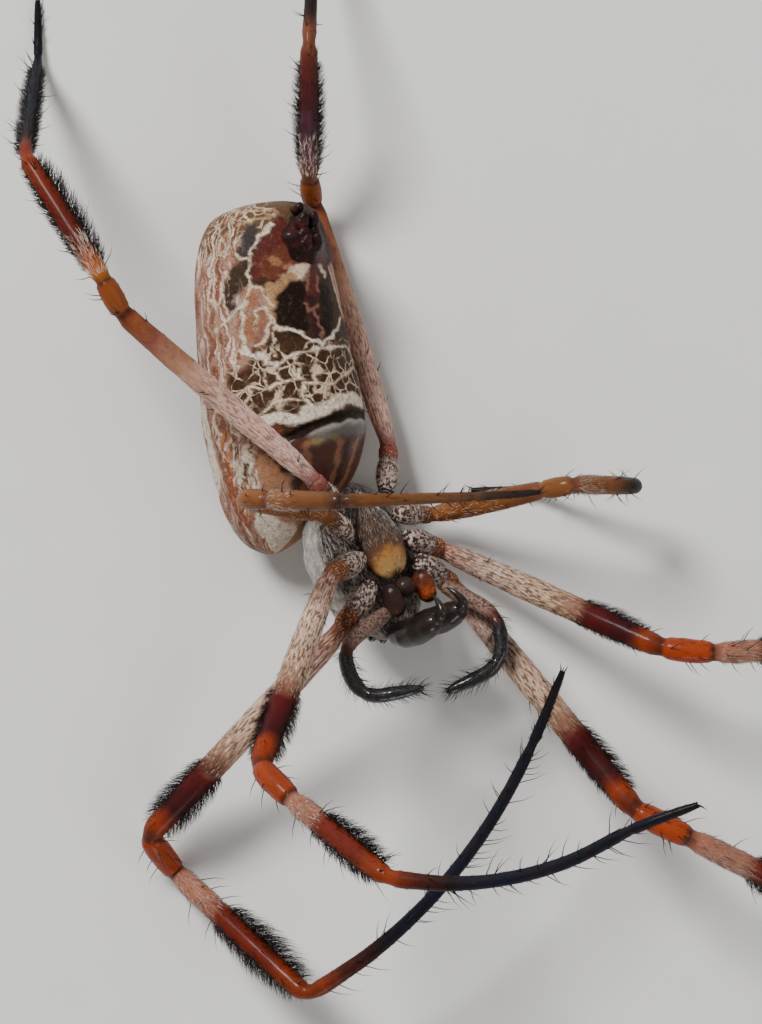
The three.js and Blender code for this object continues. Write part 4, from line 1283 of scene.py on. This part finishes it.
class ORBWEAVER_OT_mouthparts(bpy.types.Operator):
    """Lip, the two plates beside it, and the jaws with their fangs."""

    bl_idname = "orb_weaver.mouthparts"
    bl_label = "Mouthparts"

    PLATE_ROOT = (0.02, 0.01, 0.008)
    PLATE_TIPS = {"left": (0.045, 0.014, 0.009), "right": (0.33, 0.06, 0.012)}
    FRINGE_HAIRS = 150
    FRINGE_WIDTH = 0.026
    # Radii by share of the length
    JAW_RADII = (
        (0, 0.35), (0.08, 0.52), (0.25, 0.66), (0.5, 0.68), (0.75, 0.6), (0.9, 0.46), (0.97, 0.3), (1, 0.1),
    )
    FANG_RADII = ((0, 0.26), (0.3, 0.24), (0.7, 0.14), (1, 0.03))
    JAW_POINTS = 24

    def execute(self, context):
        lip_skin = satin("lip skin", (0.008, 0.005, 0.004), (0.05, 0.022, 0.016), rough=0.45, coat=0.12)
        jaw_skin = satin("jaw skin", (0.008, 0.006, 0.006), (0.03, 0.018, 0.014), rough=0.3, coat=0.45)
        fringe = hair_finish("mouth hair", (0.008, 0.005, 0.004), (0.05, 0.022, 0.014), 0.45, 0.2)
        rng = np.random.default_rng(5)
        lip = Skin("lip", 30, 28, oval((0.52, 0.46, 0.5), LABIUM, on_prosoma, self.ridged)).build()
        dress(lip, lip_skin, "labium", "labium")
        for name, side in SIDES.items():
            place = (MAXILLA[0], side * MAXILLA[1], MAXILLA[2])
            shape = oval((0.84, 0.44, 0.56), place, on_prosoma, self.ridged)
            plate = Skin(f"mouth_plate_{name}", 34, 30, shape)
            dress(plate.build(), self.plate_finish(name, self.PLATE_TIPS[name]), "maxilla", f"maxilla_{name}")
            u = rng.uniform(0.62, 0.96, self.FRINGE_HAIRS)
            v = rng.random(self.FRINGE_HAIRS)
            lengths = rng.uniform(0.2, 0.42, self.FRINGE_HAIRS)
            hairs = leaning_hairs(plate, f"mouth_fringe_{name}", u, v, rng, 28, lengths, self.FRINGE_WIDTH)
            dress(hairs, fringe, "maxilla")
            dress(self.jaw(name, side), jaw_skin, "chelicera", f"chelicera_{name}")
            dress(self.fang(name, side), jaw_skin, "chelicera")
        return {"FINISHED"}

    def plate_finish(self, side, tip):
        """Dark at the root of a mouth plate, and the colour given towards its tip."""
        constants = {"coat_roughness": 0.2, "coat_weight": 0.12, "specular_ior_level": 0.15}
        skin = Finish(f"{side} mouth plate skin", **constants)
        place = skin.place()
        along, _ = skin.along_and_round()
        cloud = skin.noise(place, 0.4, 4.0)
        between = tuple((a + b) * 0.45 for a, b in zip(self.PLATE_ROOT, tip))
        stops = [(0.2, self.PLATE_ROOT), (0.45, between), (0.65, tip), (0.95, scaled(tip, 1.3))]
        colour = skin.ramp(along + cloud * 0.6 - 0.3, stops)
        fine = skin.fine(place, 0.09)
        normal = skin.bump(fine * 0.5 + cloud * 0.9, 0.16)
        return skin.on_shader(base_color=colour, roughness=fine * 0.25 + 0.42, normal=normal)

    @staticmethod
    def ridged(points):
        """An oval with a blunt front and a raised rim."""
        points = points.copy()
        front = smooth_step(points[:, 0], 0.3, 1.0)
        points[:, 1] *= 1 + 0.25 * front
        points[:, 0] *= 1 - 0.12 * front
        points[:, 2] *= 1 + 0.1 * np.cos(points[:, 1] * 5)
        return points

    def jaw(self, name, side):
        """Stout jaw, bowed a little to the front."""
        x, y, top, length = CHELICERA.values()
        share = np.linspace(-0.12, 1, self.JAW_POINTS)
        swell = 0.16 * np.sin(np.clip(share, 0, 1) * math.pi)
        across = np.full(self.JAW_POINTS, side * y) + side * 0.1 * share
        line = np.stack([x + swell, across, top + share * length], axis=-1)
        middle = Centreline([on_prosoma(line)], rounding=3)
        return Skin(f"jaw_{name}", 44, 32, tube(middle, self.JAW_RADII)).build()

    def fang(self, name, side):
        """Curved fang folded inwards from the jaw's end."""
        x, y, top, length = CHELICERA.values()
        knots = [
            (x, y, top + length * 0.86),
            (x - 0.15, y - 0.05, top + length + 0.22),
            (x - 0.75, y - 0.2, top + length + 0.1),
            (x - 1.15, y - 0.3, top + length - 0.2),
        ]
        line = smooth_line([(a, side * b, c) for a, b, c in knots], per_span=10)
        middle = Centreline([on_prosoma(line)], rounding=2)
        return Skin(f"fang_{name}", 24, 12, tube(middle, self.FANG_RADII)).build()


class ORBWEAVER_OT_eyes(bpy.types.Operator):
    """Eight glossy eyes, each in a raised rim."""

    bl_idname = "orb_weaver.eyes"
    bl_label = "Eyes"

    LENS_COLOURS = ((0.3, (0.004, 0.003, 0.003)), (0.8, (0.03, 0.015, 0.01)))
    # Place in the head that the eyes look away from
    HEAD_MIDDLE = (2.6, 0, -2.2)
    RIM = {"radius": 0.06, "ring_radius": 0.23, "sides": 6, "steps": 24}

    def execute(self, context):
        lens = Finish("eye", coat_weight=1.0, coat_roughness=0.02)
        depth = lens.noise(lens.place(), 0.2)
        colour = lens.ramp(depth, self.LENS_COLOURS)
        finish = lens.on_shader(base_color=colour, roughness=depth * 0.1 + 0.05)
        rim_skin = satin("eye rim skin", (0.02, 0.014, 0.012), (0.08, 0.06, 0.05), 0.2)
        for name in EYES:
            for side in SIDES:
                node = f"eye_{name}_{side}"
                low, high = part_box(node)
                centre = np.array((low + high) / 2) / MM - SHIFT
                outward = unit(centre - on_prosoma([self.HEAD_MIDDLE])[0])
                dress(self.ball(node, centre, outward), finish, "eye", node)
                dress(self.rim(node, centre, outward), rim_skin, "eye")
        return {"FINISHED"}

    def ball(self, node, centre, outward):
        """Round lens that stands a little proud of its socket."""

        def carry(points):
            return points + centre + EYE_PROUD * outward

        return Skin(f"{node}_lens", 18, 24, oval((EYE_RADIUS,) * 3, (0, 0, 0), carry)).build()

    def rim(self, node, centre, outward):
        """A ring of raised skin round an eye."""
        side = unit(np.cross(outward, (0.0, 0.0, 1.0)))
        other = np.cross(outward, side)
        ring = bmesh.new()
        bmesh.ops.create_circle(ring, segments=self.RIM["sides"], radius=self.RIM["radius"] * MM)
        turn = Matrix((side, outward, other)).transposed()
        for vertex in ring.verts:
            local = Vector((vertex.co.x + self.RIM["ring_radius"] * MM, vertex.co.y, 0))
            vertex.co = turn @ local + Vector(in_frame(centre))
        bmesh.ops.spin(
            ring,
            geom=ring.edges[:],
            cent=Vector(in_frame(centre)),
            axis=Vector(outward),
            angle=math.tau,
            steps=self.RIM["steps"],
            use_merge=True,
        )
        bmesh.ops.recalc_face_normals(ring, faces=ring.faces)
        mesh = bpy.data.meshes.new(f"{node}_rim")
        ring.to_mesh(mesh)
        ring.free()
        mesh.polygons.foreach_set("use_smooth", [True] * len(mesh.polygons))
        piece = bpy.data.objects.new(f"{node}_rim", mesh)
        bpy.context.collection.objects.link(piece)
        return piece


# Limbs


def palp_skin(side):
    """Skin of a palp, from the corner of the mouth to its tip."""
    x, y, z = PALP["root"]
    knots = [on_prosoma([(x, SIDES[side] * y, z)])[0]]
    for pose, length in zip(PALP_POSES[side], PALP["lengths"]):
        knots.append(knots[-1] + length * pointing(*pose))
    middle = Centreline([smooth_line(knots)], rounding=4)
    return Skin(f"palp_{side}_skin", 80, 16, tube(middle, PALP_RADII, waviness=0.02))


def leg_centreline(side, number):
    """Middle of a leg from its root to its claws, with the foot's bow."""
    lengths = LEG_LENGTHS[number - 1]
    poses = [pointing(*pose) for pose in LEG_POSES[side][number - 1]]
    root = (COXA_ROOT["x"][number - 1], SIDES[side] * COXA_ROOT["y"], COXA_ROOT["z"])
    joints = [on_prosoma([root])[0]]
    for direction, length in zip(poses, lengths):
        joints.append(joints[-1] + direction * length)
    stretches = [np.linspace(a, b, 12) for a, b in zip(joints[:4], joints[1:5])]
    start, end, claws = joints[4:]
    sideways = unit(np.cross((0.0, 0.0, 1.0), poses[4]))
    bow = FOOT_BOWS[side][number - 1]
    knots = [start + (end - start) * share + sideways * bow * lift for share, lift in FOOT_ARCH]
    per_span = 20
    foot = smooth_line([*knots, claws], per_span=per_span)
    last = per_span * (len(FOOT_ARCH) - 1)
    stretches += [foot[: last + 1], foot[last:]]
    return Centreline(stretches)


def leg_girth(number):
    """Radii along a leg, the foot of a slim leg kept a little thicker."""
    girth = LEG_GIRTHS[number - 1]
    foot = max(girth, FOOT_LEAST_GIRTH)
    return [(joint, radius * (girth if joint < 4 else foot)) for joint, radius in LEG_RADII]


def near_joints(u):
    """Rings drawn together at each joint."""
    joint = np.asarray(u) * TIP
    share = joint % 1
    drawn = np.floor(joint) + share - 0.125 * np.sin(2 * math.pi * share)
    return np.where(joint >= TIP, 1.0, drawn / TIP)


def leg_skin(side, number):
    """Skin of a whole leg."""
    name = f"leg_{side}_{number}_skin"
    middle = leg_centreline(side, number)
    return Skin(name, 180, 18, tube(middle, leg_girth(number), waviness=0.015), near_joints)


LEG_SKINS = {(side, number): leg_skin(side, number) for side in SIDES for number in LEG_NUMBERS}
LEG_LINES = {(side, number): leg_centreline(side, number) for side in SIDES for number in LEG_NUMBERS}


class ORBWEAVER_OT_legs(bpy.types.Operator):
    """Eight legs, each one skin from coxa to tarsus, banded by its segments."""

    bl_idname = "orb_weaver.legs"
    bl_label = "Legs"

    # Stretches by joint number that carry lengthwise streaks
    STREAKED = (0.1, 1.6)
    SHORT_STREAKED = (0.1, 0.9)

    def execute(self, context):
        long = self.long_finish()
        red, orange = tint("red_brown"), tint("orange")
        rear = {
            "left": self.rear_finish(
                "left rear leg skin",
                [
                    (3.04, (0.4, 0.12, 0.02)),
                    (3.14, (0.28, 0.055, 0.01)),
                    (3.26, (0.09, 0.009, 0.004)),
                    (3.7, red),
                    (3.94, scaled(orange, 0.8)),
                    (4.08, (0.13, 0.014, 0.007)),
                ],
            ),
            "right": self.rear_finish(
                "right rear leg skin",
                [
                    (3.04, (0.24, 0.09, 0.05)),
                    (3.16, (0.13, 0.06, 0.075)),
                    (3.4, (0.09, 0.035, 0.05)),
                    (3.62, (0.075, 0.014, 0.016)),
                    (3.9, (0.11, 0.022, 0.014)),
                    (4.05, (0.17, 0.05, 0.022)),
                ],
            ),
        }
        short = {
            "left": self.short_finish("left short leg skin", scaled(tint("short_leg"), 0.6)),
            "right": self.short_finish("right short leg skin", (0.008, 0.005, 0.005)),
        }
        for (side, number), skin in LEG_SKINS.items():
            piece = skin.build()
            nodes = [f"leg_{side}_{number}_{segment}" for segment in SEGMENTS[:5]]
            finish = (long, long, short[side], rear[side])[number - 1]
            dress(piece, finish, "short_leg" if number == 3 else "femur", *nodes)
        return {"FINISHED"}

    def banded(self, name, stops, streak, streaked, coat):
        """Leg finish: bands by joint number, dark and frosty streaks on a stretch, gloss past it."""
        skin = Finish(name, coat_roughness=0.18, specular_ior_level=0.1)
        place = skin.place()
        along, round_it = skin.along_and_round()
        joint = along * TIP
        drift = skin.noise(place, 0.8, 4.0) - 0.5
        bands = skin.ramp((joint + drift * 0.1) / TIP, [(number / TIP, colour) for number, colour in stops])
        lengthwise = skin.node("ShaderNodeCombineXYZ", None, {0: along * 170, 1: round_it * 34, 2: 0.0})
        streaks = skin.raw_noise(lengthwise, 1.0, 3.0, 0.6)
        spots = skin.step(streaks, 0.49, 0.56)
        on_it = skin.within(joint, *streaked, 0.1)
        colour = skin.mix(spots * on_it * 0.75, bands, streak)
        frost = (1 - skin.step(streaks, 0.36, 0.44)) * on_it
        colour = skin.mix(frost * 0.55, colour, (0.86, 0.72, 0.62))
        root = 1 - skin.step(joint, 0.55, 0.66)
        wrinkle = skin.step(skin.noise(place, 0.17, 3.0, 0.6), 0.49, 0.57)
        colour = skin.mix(root * wrinkle * 0.8, colour, (0.62, 0.5, 0.44))
        cloud = skin.step(skin.noise(place, 1.6, 3.0), 0.4, 0.7)
        colour = skin.mix(cloud * 0.3, colour, (0.03, 0.01, 0.006))
        fine = skin.fine(place, 0.1)
        glossy = skin.step(joint, 1.6, 2.1) * (1 - skin.step(joint, 4.05, 4.2) * 0.7)
        rough = 0.5 - glossy * 0.16 + fine * 0.16
        normal = skin.bump(fine, 0.045)
        return skin.on_shader(base_color=colour, roughness=rough, coat_weight=glossy * coat, normal=normal)

    def long_finish(self):
        """Finish of the first and second legs."""
        femur, orange, red, foot = (tint(name) for name in ("femur", "orange", "red_brown", "foot"))
        worn_femur = tuple(channel * share for channel, share in zip(femur, (0.95, 0.9, 0.75)))
        stops = [
            (0.0, (0.05, 0.026, 0.02)),
            (0.62, (0.07, 0.034, 0.025)),
            (0.68, (0.26, 0.08, 0.022)),
            (0.98, (0.24, 0.075, 0.025)),
            (1.06, (0.42, 0.22, 0.16)),
            (1.25, femur),
            (1.5, worn_femur),
            (1.6, (0.3, 0.15, 0.09)),
            (1.68, (0.085, 0.007, 0.006)),
            (1.86, (0.04, 0.004, 0.006)),
            (1.93, orange),
            (2.0, (0.06, 0.01, 0.004)),
            (2.08, orange),
            (2.88, orange),
            (2.98, (0.05, 0.01, 0.004)),
            (3.04, (0.36, 0.13, 0.08)),
            (3.26, (0.34, 0.13, 0.08)),
            (3.36, red),
            (3.75, red),
            (3.88, scaled(orange, 0.7)),
            (4.02, scaled(orange, 0.75)),
            (4.12, (0.06, 0.009, 0.003)),
            (4.26, (0.012, 0.004, 0.004)),
            (4.36, foot),
            (6.0, (0.003, 0.003, 0.004)),
        ]
        return self.banded("long leg skin", stops, (0.06, 0.026, 0.02), self.STREAKED, 0.2)

    def rear_finish(self, name, shin):
        """Finish of a fourth leg, its tibia in the stops given."""
        stops = [
            (0.0, (0.05, 0.026, 0.02)),
            (0.62, (0.07, 0.03, 0.022)),
            (0.7, (0.26, 0.035, 0.012)),
            (0.98, (0.24, 0.04, 0.016)),
            (1.1, (0.82, 0.49, 0.4)),
            (1.5, (0.72, 0.42, 0.31)),
            (1.72, (0.44, 0.21, 0.13)),
            (1.86, (0.25, 0.075, 0.045)),
            (1.94, (0.26, 0.075, 0.025)),
            (2.0, (0.07, 0.012, 0.006)),
            (2.12, (0.27, 0.065, 0.014)),
            (2.88, (0.24, 0.06, 0.012)),
            (2.98, (0.06, 0.014, 0.005)),
            *shin,
            (4.16, (0.012, 0.005, 0.006)),
            (4.4, tint("foot")),
            (6.0, (0.003, 0.003, 0.004)),
        ]
        return self.banded(name, stops, (0.24, 0.12, 0.12), self.STREAKED, 0.1)

    def short_finish(self, name, shin_end):
        """Finish of a third leg, its tibia ending in the colour given."""
        short = tint("short_leg")
        stops = [
            (0.0, (0.05, 0.026, 0.02)),
            (0.7, (0.14, 0.045, 0.016)),
            (1.1, short),
            (1.7, scaled(short, 0.9)),
            (1.95, (0.16, 0.05, 0.02)),
            (2.1, short),
            (2.9, scaled(short, 0.8)),
            (3.0, (0.12, 0.04, 0.02)),
            (3.15, short),
            (3.55, scaled(short, 0.7)),
            (3.8, shin_end),
            (3.97, (0.03, 0.012, 0.008)),
            (4.15, scaled(short, 0.75)),
            (4.8, (0.14, 0.06, 0.025)),
            (5.2, (0.05, 0.025, 0.015)),
            (6.0, (0.015, 0.01, 0.01)),
        ]
        return self.banded(name, stops, (0.04, 0.018, 0.012), self.SHORT_STREAKED, 0.25)


class ORBWEAVER_OT_palps(bpy.types.Operator):
    """Two palps, pinkish at the root and glossy black past the knee."""

    bl_idname = "orb_weaver.palps"
    bl_label = "Palps"

    # Colours by share of the length
    BANDS = (
        (0.0, (0.2, 0.11, 0.08)),
        (0.3, (0.27, 0.155, 0.12)),
        (0.36, (0.1, 0.02, 0.01)),
        (0.43, (0.01, 0.006, 0.006)),
        (1.0, (0.004, 0.004, 0.004)),
    )

    def execute(self, context):
        skin = Finish("palp skin", coat_roughness=0.1, specular_ior_level=0.3)
        place = skin.place()
        along, _ = skin.along_and_round()
        bands = skin.ramp(along, self.BANDS)
        spots = skin.step(skin.noise(place, 0.11, 2.0), 0.47, 0.56) * (1 - skin.step(along, 0.3, 0.36))
        fine = skin.fine(place, 0.08)
        black = skin.step(along, 0.36, 0.46)
        finish = skin.on_shader(
            base_color=skin.mix(spots * 0.8, bands, (0.04, 0.02, 0.016)),
            roughness=0.42 - black * 0.2 + fine * 0.12,
            coat_weight=black * 0.6 + 0.1,
            normal=skin.bump(fine, 0.04),
        )
        for side in SIDES:
            dress(palp_skin(side).build(), finish, "palp", f"palp_{side}")
        return {"FINISHED"}


# Hair


# How far a hair curls towards its tip, how deep it is rooted, and the spread of its lean and of its heading
CURL = 0.25
ROOT_DEPTH = 0.02
LEAN_SPREAD = 7
HEADING_SPREAD = 0.22


def hair_finish(name, dark, light, rough, specular):
    """Finish of a hair, its colour drifting between two from one hair to the next."""
    hair = Finish(name, specular_ior_level=specular)
    drift = hair.noise(hair.place(), 0.4, 2.0)
    colour = hair.ramp(drift, [(0.35, dark), (0.65, light)])
    return hair.on_shader(base_color=colour, roughness=drift * 0.2 + rough)


def leaning_hairs(skin, name, u, v, rng, lean, lengths, width, towards_tip=1.0, steps=2):
    """Hairs rooted at places of a skin that lean along it, or against it where towards_tip is -1."""
    roots, outward, ahead = skin.roots(u, v)
    count = len(u)
    lean = np.radians(lean + rng.normal(0, LEAN_SPREAD, count))[:, None]
    sideways = np.cross(outward, ahead) * rng.normal(0, HEADING_SPREAD, count)[:, None]
    directions = unit(ahead * towards_tip * np.cos(lean) + outward * np.sin(lean) + sideways)
    bends = ahead * towards_tip * CURL - outward * CURL * 0.4
    sunk = roots - outward * ROOT_DEPTH
    unwrap = np.stack([u, v], axis=-1) * 0.99
    return joined_strands(name, sunk, directions, lengths, width, bends, unwrap, 3, steps)


class ORBWEAVER_OT_brushes(bpy.types.Operator):
    """Brushes of black hair on two edges of the long legs."""

    bl_idname = "orb_weaver.brushes"
    bl_label = "Brushes"

    # Lean of the hairs, its spread and limits, and the spread of their splay round the leg
    LEAN = {"mean": 52, "spread": 11, "least": 25, "most": 85}
    SPLAY = 24
    ROOT_DEPTH = 0.05

    def execute(self, context):
        finish = hair_finish("brush hair", (0.004, 0.003, 0.003), (0.014, 0.008, 0.006), 0.45, 0.25)
        rng = np.random.default_rng(41)
        for (side, number), line in LEG_LINES.items():
            for brush_side, leg, joint, low, high, *heights in BRUSHES:
                if (brush_side, leg) == (side, number):
                    piece = self.brush(side, number, line, joint, low, high, heights, rng)
                    piece.name = f"brush_{side}_{number}_{SEGMENTS[joint]}"
                    dress(piece, finish, "tibia" if joint == 3 else "femur")
        return {"FINISHED"}

    def brush(self, side, number, line, joint, low, high, heights, rng):
        """One segment's two brushes, lower at both ends, leaning towards the foot."""
        length = line.joints[joint + 1] - line.joints[joint]
        each = int((high - low) * length * settings().brush_density)
        lean = rng.normal(self.LEAN["mean"], self.LEAN["spread"], 2 * each)
        lean = np.radians(lean.clip(self.LEAN["least"], self.LEAN["most"]))
        share = rng.random(2 * each)
        crown = 0.5 + 0.5 * np.sin(math.pi * np.clip(share * 0.94 + 0.03, 0, 1)) ** 0.7
        lengths = np.repeat(heights, each) * crown * rng.uniform(0.5, 1.12, 2 * each) / np.sin(lean)
        reach = lengths * np.cos(lean) / length
        places = low + share * (high - low) - reach * share
        middle, along, _, _ = line.at(line.place_of(joint + places))
        radius = np.interp(joint + places, *zip(*leg_girth(number)))
        direction = pointing(*LEG_POSES[side][number - 1][joint])
        edge = unit(np.cross((0.0, 0.0, 1.0), direction))
        sign = np.repeat([-1.0, 1.0], each)[:, None]
        splay = np.radians(rng.normal(0, self.SPLAY, 2 * each))[:, None]
        away = unit(sign * edge - (sign * np.sum(edge * along, axis=1, keepdims=True)) * along)
        other = np.cross(along, away)
        away = np.cos(splay) * away + np.sin(splay) * other
        roots = middle + away * (radius - self.ROOT_DEPTH)[:, None]
        directions = along * np.cos(lean)[:, None] + away * np.sin(lean)[:, None]
        bends = along * 0.16 - away * 0.1
        turned = (np.arctan2(splay[:, 0], 1) / 6.4 + 0.5) % 1
        unwrap = np.stack([(joint + places) / TIP, turned], axis=-1) * 0.99
        width = settings().brush_hair_width * rng.uniform(0.75, 1.2, 2 * each)
        return joined_strands("brush", roots, directions, lengths, width, bends, unwrap, 3, 3)


class ORBWEAVER_OT_bristles(bpy.types.Operator):
    """Black bristles and short dark hair along legs and palps, and the claws."""

    bl_idname = "orb_weaver.bristles"
    bl_label = "Bristles"

    # Stretch by joint number, hairs for each mm, length and lean, for a long first leg
    LONG = (
        (1.1, 1.95, 1.2, 0.7, 52),
        (2.1, 2.95, 4.0, 1.0, 62),
        (3.05, 3.97, 3.4, 1.25, 64),
        (4.05, 5.0, 4.2, 1.25, 64),
        (5.02, 5.85, 6.0, 0.45, 42),
    )
    SHORT = (
        (1.6, 2.0, 14.0, 0.32, 26),
        (2.05, 2.97, 12.0, 0.3, 26),
        (3.02, 3.98, 20.0, 0.34, 26),
        (4.03, 5.0, 40.0, 0.24, 20),
        (5.0, 5.97, 50.0, 0.2, 20),
    )
    FUZZ_WIDTH = 0.022
    # Length of each leg's bristles and fuzz, next to the first leg's
    SCALES = (1.0, 0.95, 0.7, 0.85)
    PALP_HAIRS = 260
    PALP_HAIR_WIDTH = 0.032

    def execute(self, context):
        black = hair_finish("bristle", (0.003, 0.003, 0.004), (0.012, 0.007, 0.006), 0.45, 0.25)
        rng = np.random.default_rng(7)
        for (side, number), skin in LEG_SKINS.items():
            kinds = (("bristles", self.LONG, settings().bristle_width), ("fuzz", self.SHORT, self.FUZZ_WIDTH))
            for kind, rows, width in kinds:
                u, v, lengths, leans = self.scatter(side, number, rows, rng)
                piece = leaning_hairs(skin, f"{kind}_{side}_{number}", u, v, rng, leans, lengths, width)
                dress(piece, black, "metatarsus")
            dress(self.claws(side, number), black, "metatarsus")
        for side in SIDES:
            skin = palp_skin(side)
            u = rng.uniform(0.2, 0.99, self.PALP_HAIRS) ** 0.75
            v = rng.random(self.PALP_HAIRS)
            lengths = rng.uniform(0.3, 0.8, self.PALP_HAIRS)
            name = f"palp_bristles_{side}"
            piece = leaning_hairs(skin, name, u, v, rng, 55, lengths, self.PALP_HAIR_WIDTH)
            dress(piece, black, "palp")
        return {"FINISHED"}

    def scatter(self, side, number, rows, rng):
        """Places, lengths and leans of the hairs of all rows on one leg."""
        line = LEG_LINES[side, number]
        joints, lengths, leans = [], [], []
        for low, high, density, length, lean in rows:
            span = line.place_of(high) - line.place_of(low)
            count = int(span * density)
            joints.append(rng.uniform(low, high, count))
            lengths.append(length * self.SCALES[number - 1] * rng.uniform(0.6, 1.15, count))
            leans.append(np.full(count, lean))
        joint = np.concatenate(joints)
        return joint / TIP, rng.random(len(joint)), np.concatenate(lengths), np.concatenate(leans)

    def claws(self, side, number):
        """Two curved claws and a hook between them at the tip of a leg."""
        line = LEG_LINES[side, number]
        tip, along, up, across = (values[-1] for values in (line.points, line.along, line.up, line.across))
        roots = np.array([tip - along * 0.12 + across * aside * 0.05 for aside in (-1, 0, 1)])
        directions = np.array([along + across * aside * 0.35 - up * 0.1 for aside in (-1, 0, 1)])
        bends = np.repeat([-up * 0.7], 3, axis=0)
        unwrap = np.array([[0.985, 0.3], [0.985, 0.5], [0.985, 0.7]])
        lengths = np.array([0.42, 0.28, 0.42])
        return joined_strands(f"claws_{side}_{number}", roots, directions, lengths, 0.09, bends, unwrap, 6, 5)


class ORBWEAVER_OT_down(bpy.types.Operator):
    """Silver hair on carapace, sternum and abdomen, cream hair on coxae, femora and roots of tibiae."""

    bl_idname = "orb_weaver.down"
    bl_label = "Down"

    # Stretch of a leg by joint number, and hairs for each mm
    LEG_ROWS = ((0.12, 0.6, 190), (1.02, 1.66, 90), (3.03, 3.34, 260))
    STERNUM_HAIRS = 800
    CARAPACE_HAIRS = 16000
    UNDERSIDE_HAIRS = 1600
    ABDOMEN_HAIRS = 3200
    FRINGE_HAIRS = 700

    def execute(self, context):
        silver = hair_finish("silver hair", (0.32, 0.29, 0.26), (0.64, 0.6, 0.55), 0.5, 0.15)
        rng = np.random.default_rng(19)
        width = settings().down_width
        self.carapace_down(silver, rng, width)
        self.sternum_down(silver, rng, width)
        cream = hair_finish("cream hair", (0.5, 0.4, 0.31), (0.8, 0.7, 0.58), 0.45, 0.2)
        for (side, number), skin in LEG_SKINS.items():
            line = LEG_LINES[side, number]
            parts = []
            for low, high, density in self.LEG_ROWS:
                count = int((line.place_of(high) - line.place_of(low)) * density)
                parts.append(rng.uniform(low, high, count))
            u = np.concatenate(parts) / TIP
            lengths = rng.uniform(0.2, 0.42, len(u))
            v = rng.random(len(u))
            piece = leaning_hairs(skin, f"down_{side}_{number}", u, v, rng, 16, lengths, width, steps=1)
            dress(piece, cream, "coxa")
        self.abdomen_down(silver, rng, width)
        return {"FINISHED"}

    def sternum_down(self, finish, rng, width):
        """Grey hair on the sternum, thinner on its bright front."""
        u = rng.uniform(0.08, 0.9, self.STERNUM_HAIRS)
        u = u[rng.random(self.STERNUM_HAIRS) < 1 - 0.85 * smooth_step(u, 0.52, 0.62)]
        v = rng.uniform(-0.24, 0.24, len(u)) % 1
        lengths = rng.uniform(0.25, 0.5, len(u))
        piece = leaning_hairs(STERNUM_SKIN, "sternum_down", u, v, rng, 18, lengths, width * 0.6, -1.0, 1)
        dress(piece, finish, "sternum")

    def carapace_down(self, finish, rng, width):
        """Dense hair on top, thinner below and towards the eyes."""
        count = self.CARAPACE_HAIRS
        u = np.arccos(rng.uniform(-1, 1, count)) / math.pi
        v = rng.uniform(0.17, 0.83, count)
        v[: self.UNDERSIDE_HAIRS] = rng.uniform(-0.17, 0.17, self.UNDERSIDE_HAIRS) % 1
        x = -np.cos(math.pi * u)
        lengths = rng.uniform(0.3, 0.62, count)
        keep = rng.random(count) < 1 - 0.75 * smooth_step(x, 0.75, 0.98)
        kept = (u[keep], v[keep], rng, 14, lengths[keep], width, -1.0)
        piece = leaning_hairs(CARAPACE_SKIN, "carapace_down", *kept)
        dress(piece, finish, "carapace")

    def abdomen_down(self, finish, rng, width):
        """Sparse short hair on the back and flanks, and a pale fringe at the front tip."""
        u = rng.uniform(0.06, 0.97, self.ABDOMEN_HAIRS)
        v = rng.uniform(0.68, 1.18, self.ABDOMEN_HAIRS) % 1
        u = np.concatenate([u, rng.uniform(0.84, 0.985, self.FRINGE_HAIRS)])
        v = np.concatenate([v, rng.uniform(0.08, 0.2, self.FRINGE_HAIRS)])
        short = rng.uniform(0.12, 0.26, self.ABDOMEN_HAIRS)
        lengths = np.concatenate([short, rng.uniform(0.22, 0.45, self.FRINGE_HAIRS)])
        piece = leaning_hairs(ABDOMEN_SKIN, "abdomen_down", u, v, rng, 35, lengths, width, -1.0, 1)
        dress(piece, finish, "abdomen")


OPERATORS = (
    ORBWEAVER_OT_stage,
    ORBWEAVER_OT_abdomen,
    ORBWEAVER_OT_spinnerets,
    ORBWEAVER_OT_carapace,
    ORBWEAVER_OT_sternum,
    ORBWEAVER_OT_mouthparts,
    ORBWEAVER_OT_eyes,
    ORBWEAVER_OT_palps,
    ORBWEAVER_OT_legs,
    ORBWEAVER_OT_brushes,
    ORBWEAVER_OT_bristles,
    ORBWEAVER_OT_down,
)


class ORBWEAVER_PT_sidebar(bpy.types.Panel):
    """Pieces of the orb weaver, with their sizes and colours."""

    bl_idname = "ORBWEAVER_PT_sidebar"
    bl_label = "Orb Weaver"
    bl_space_type = "VIEW_3D"
    bl_region_type = "UI"
    bl_category = "Orb Weaver"

    def draw(self, context):
        layout = self.layout
        for group in (context.scene.orb_weaver_sizes, context.scene.orb_weaver_colours):
            for key in type(group).__annotations__:
                layout.prop(group, key)
        for operator in OPERATORS:
            layout.operator(operator.bl_idname)


CLASSES = (OrbWeaverSizes, OrbWeaverColours, *OPERATORS, ORBWEAVER_PT_sidebar)


def register():
    for one in CLASSES:
        bpy.utils.register_class(one)
    bpy.types.Scene.orb_weaver_sizes = PointerProperty(type=OrbWeaverSizes)
    bpy.types.Scene.orb_weaver_colours = PointerProperty(type=OrbWeaverColours)


def unregister():
    del bpy.types.Scene.orb_weaver_colours
    del bpy.types.Scene.orb_weaver_sizes
    for one in reversed(CLASSES):
        bpy.utils.unregister_class(one)


def main():
    register()
    for operator in OPERATORS:
        group, name = operator.bl_idname.split(".")
        getattr(getattr(bpy.ops, group), name)()


if __name__ == "__main__":
    main()
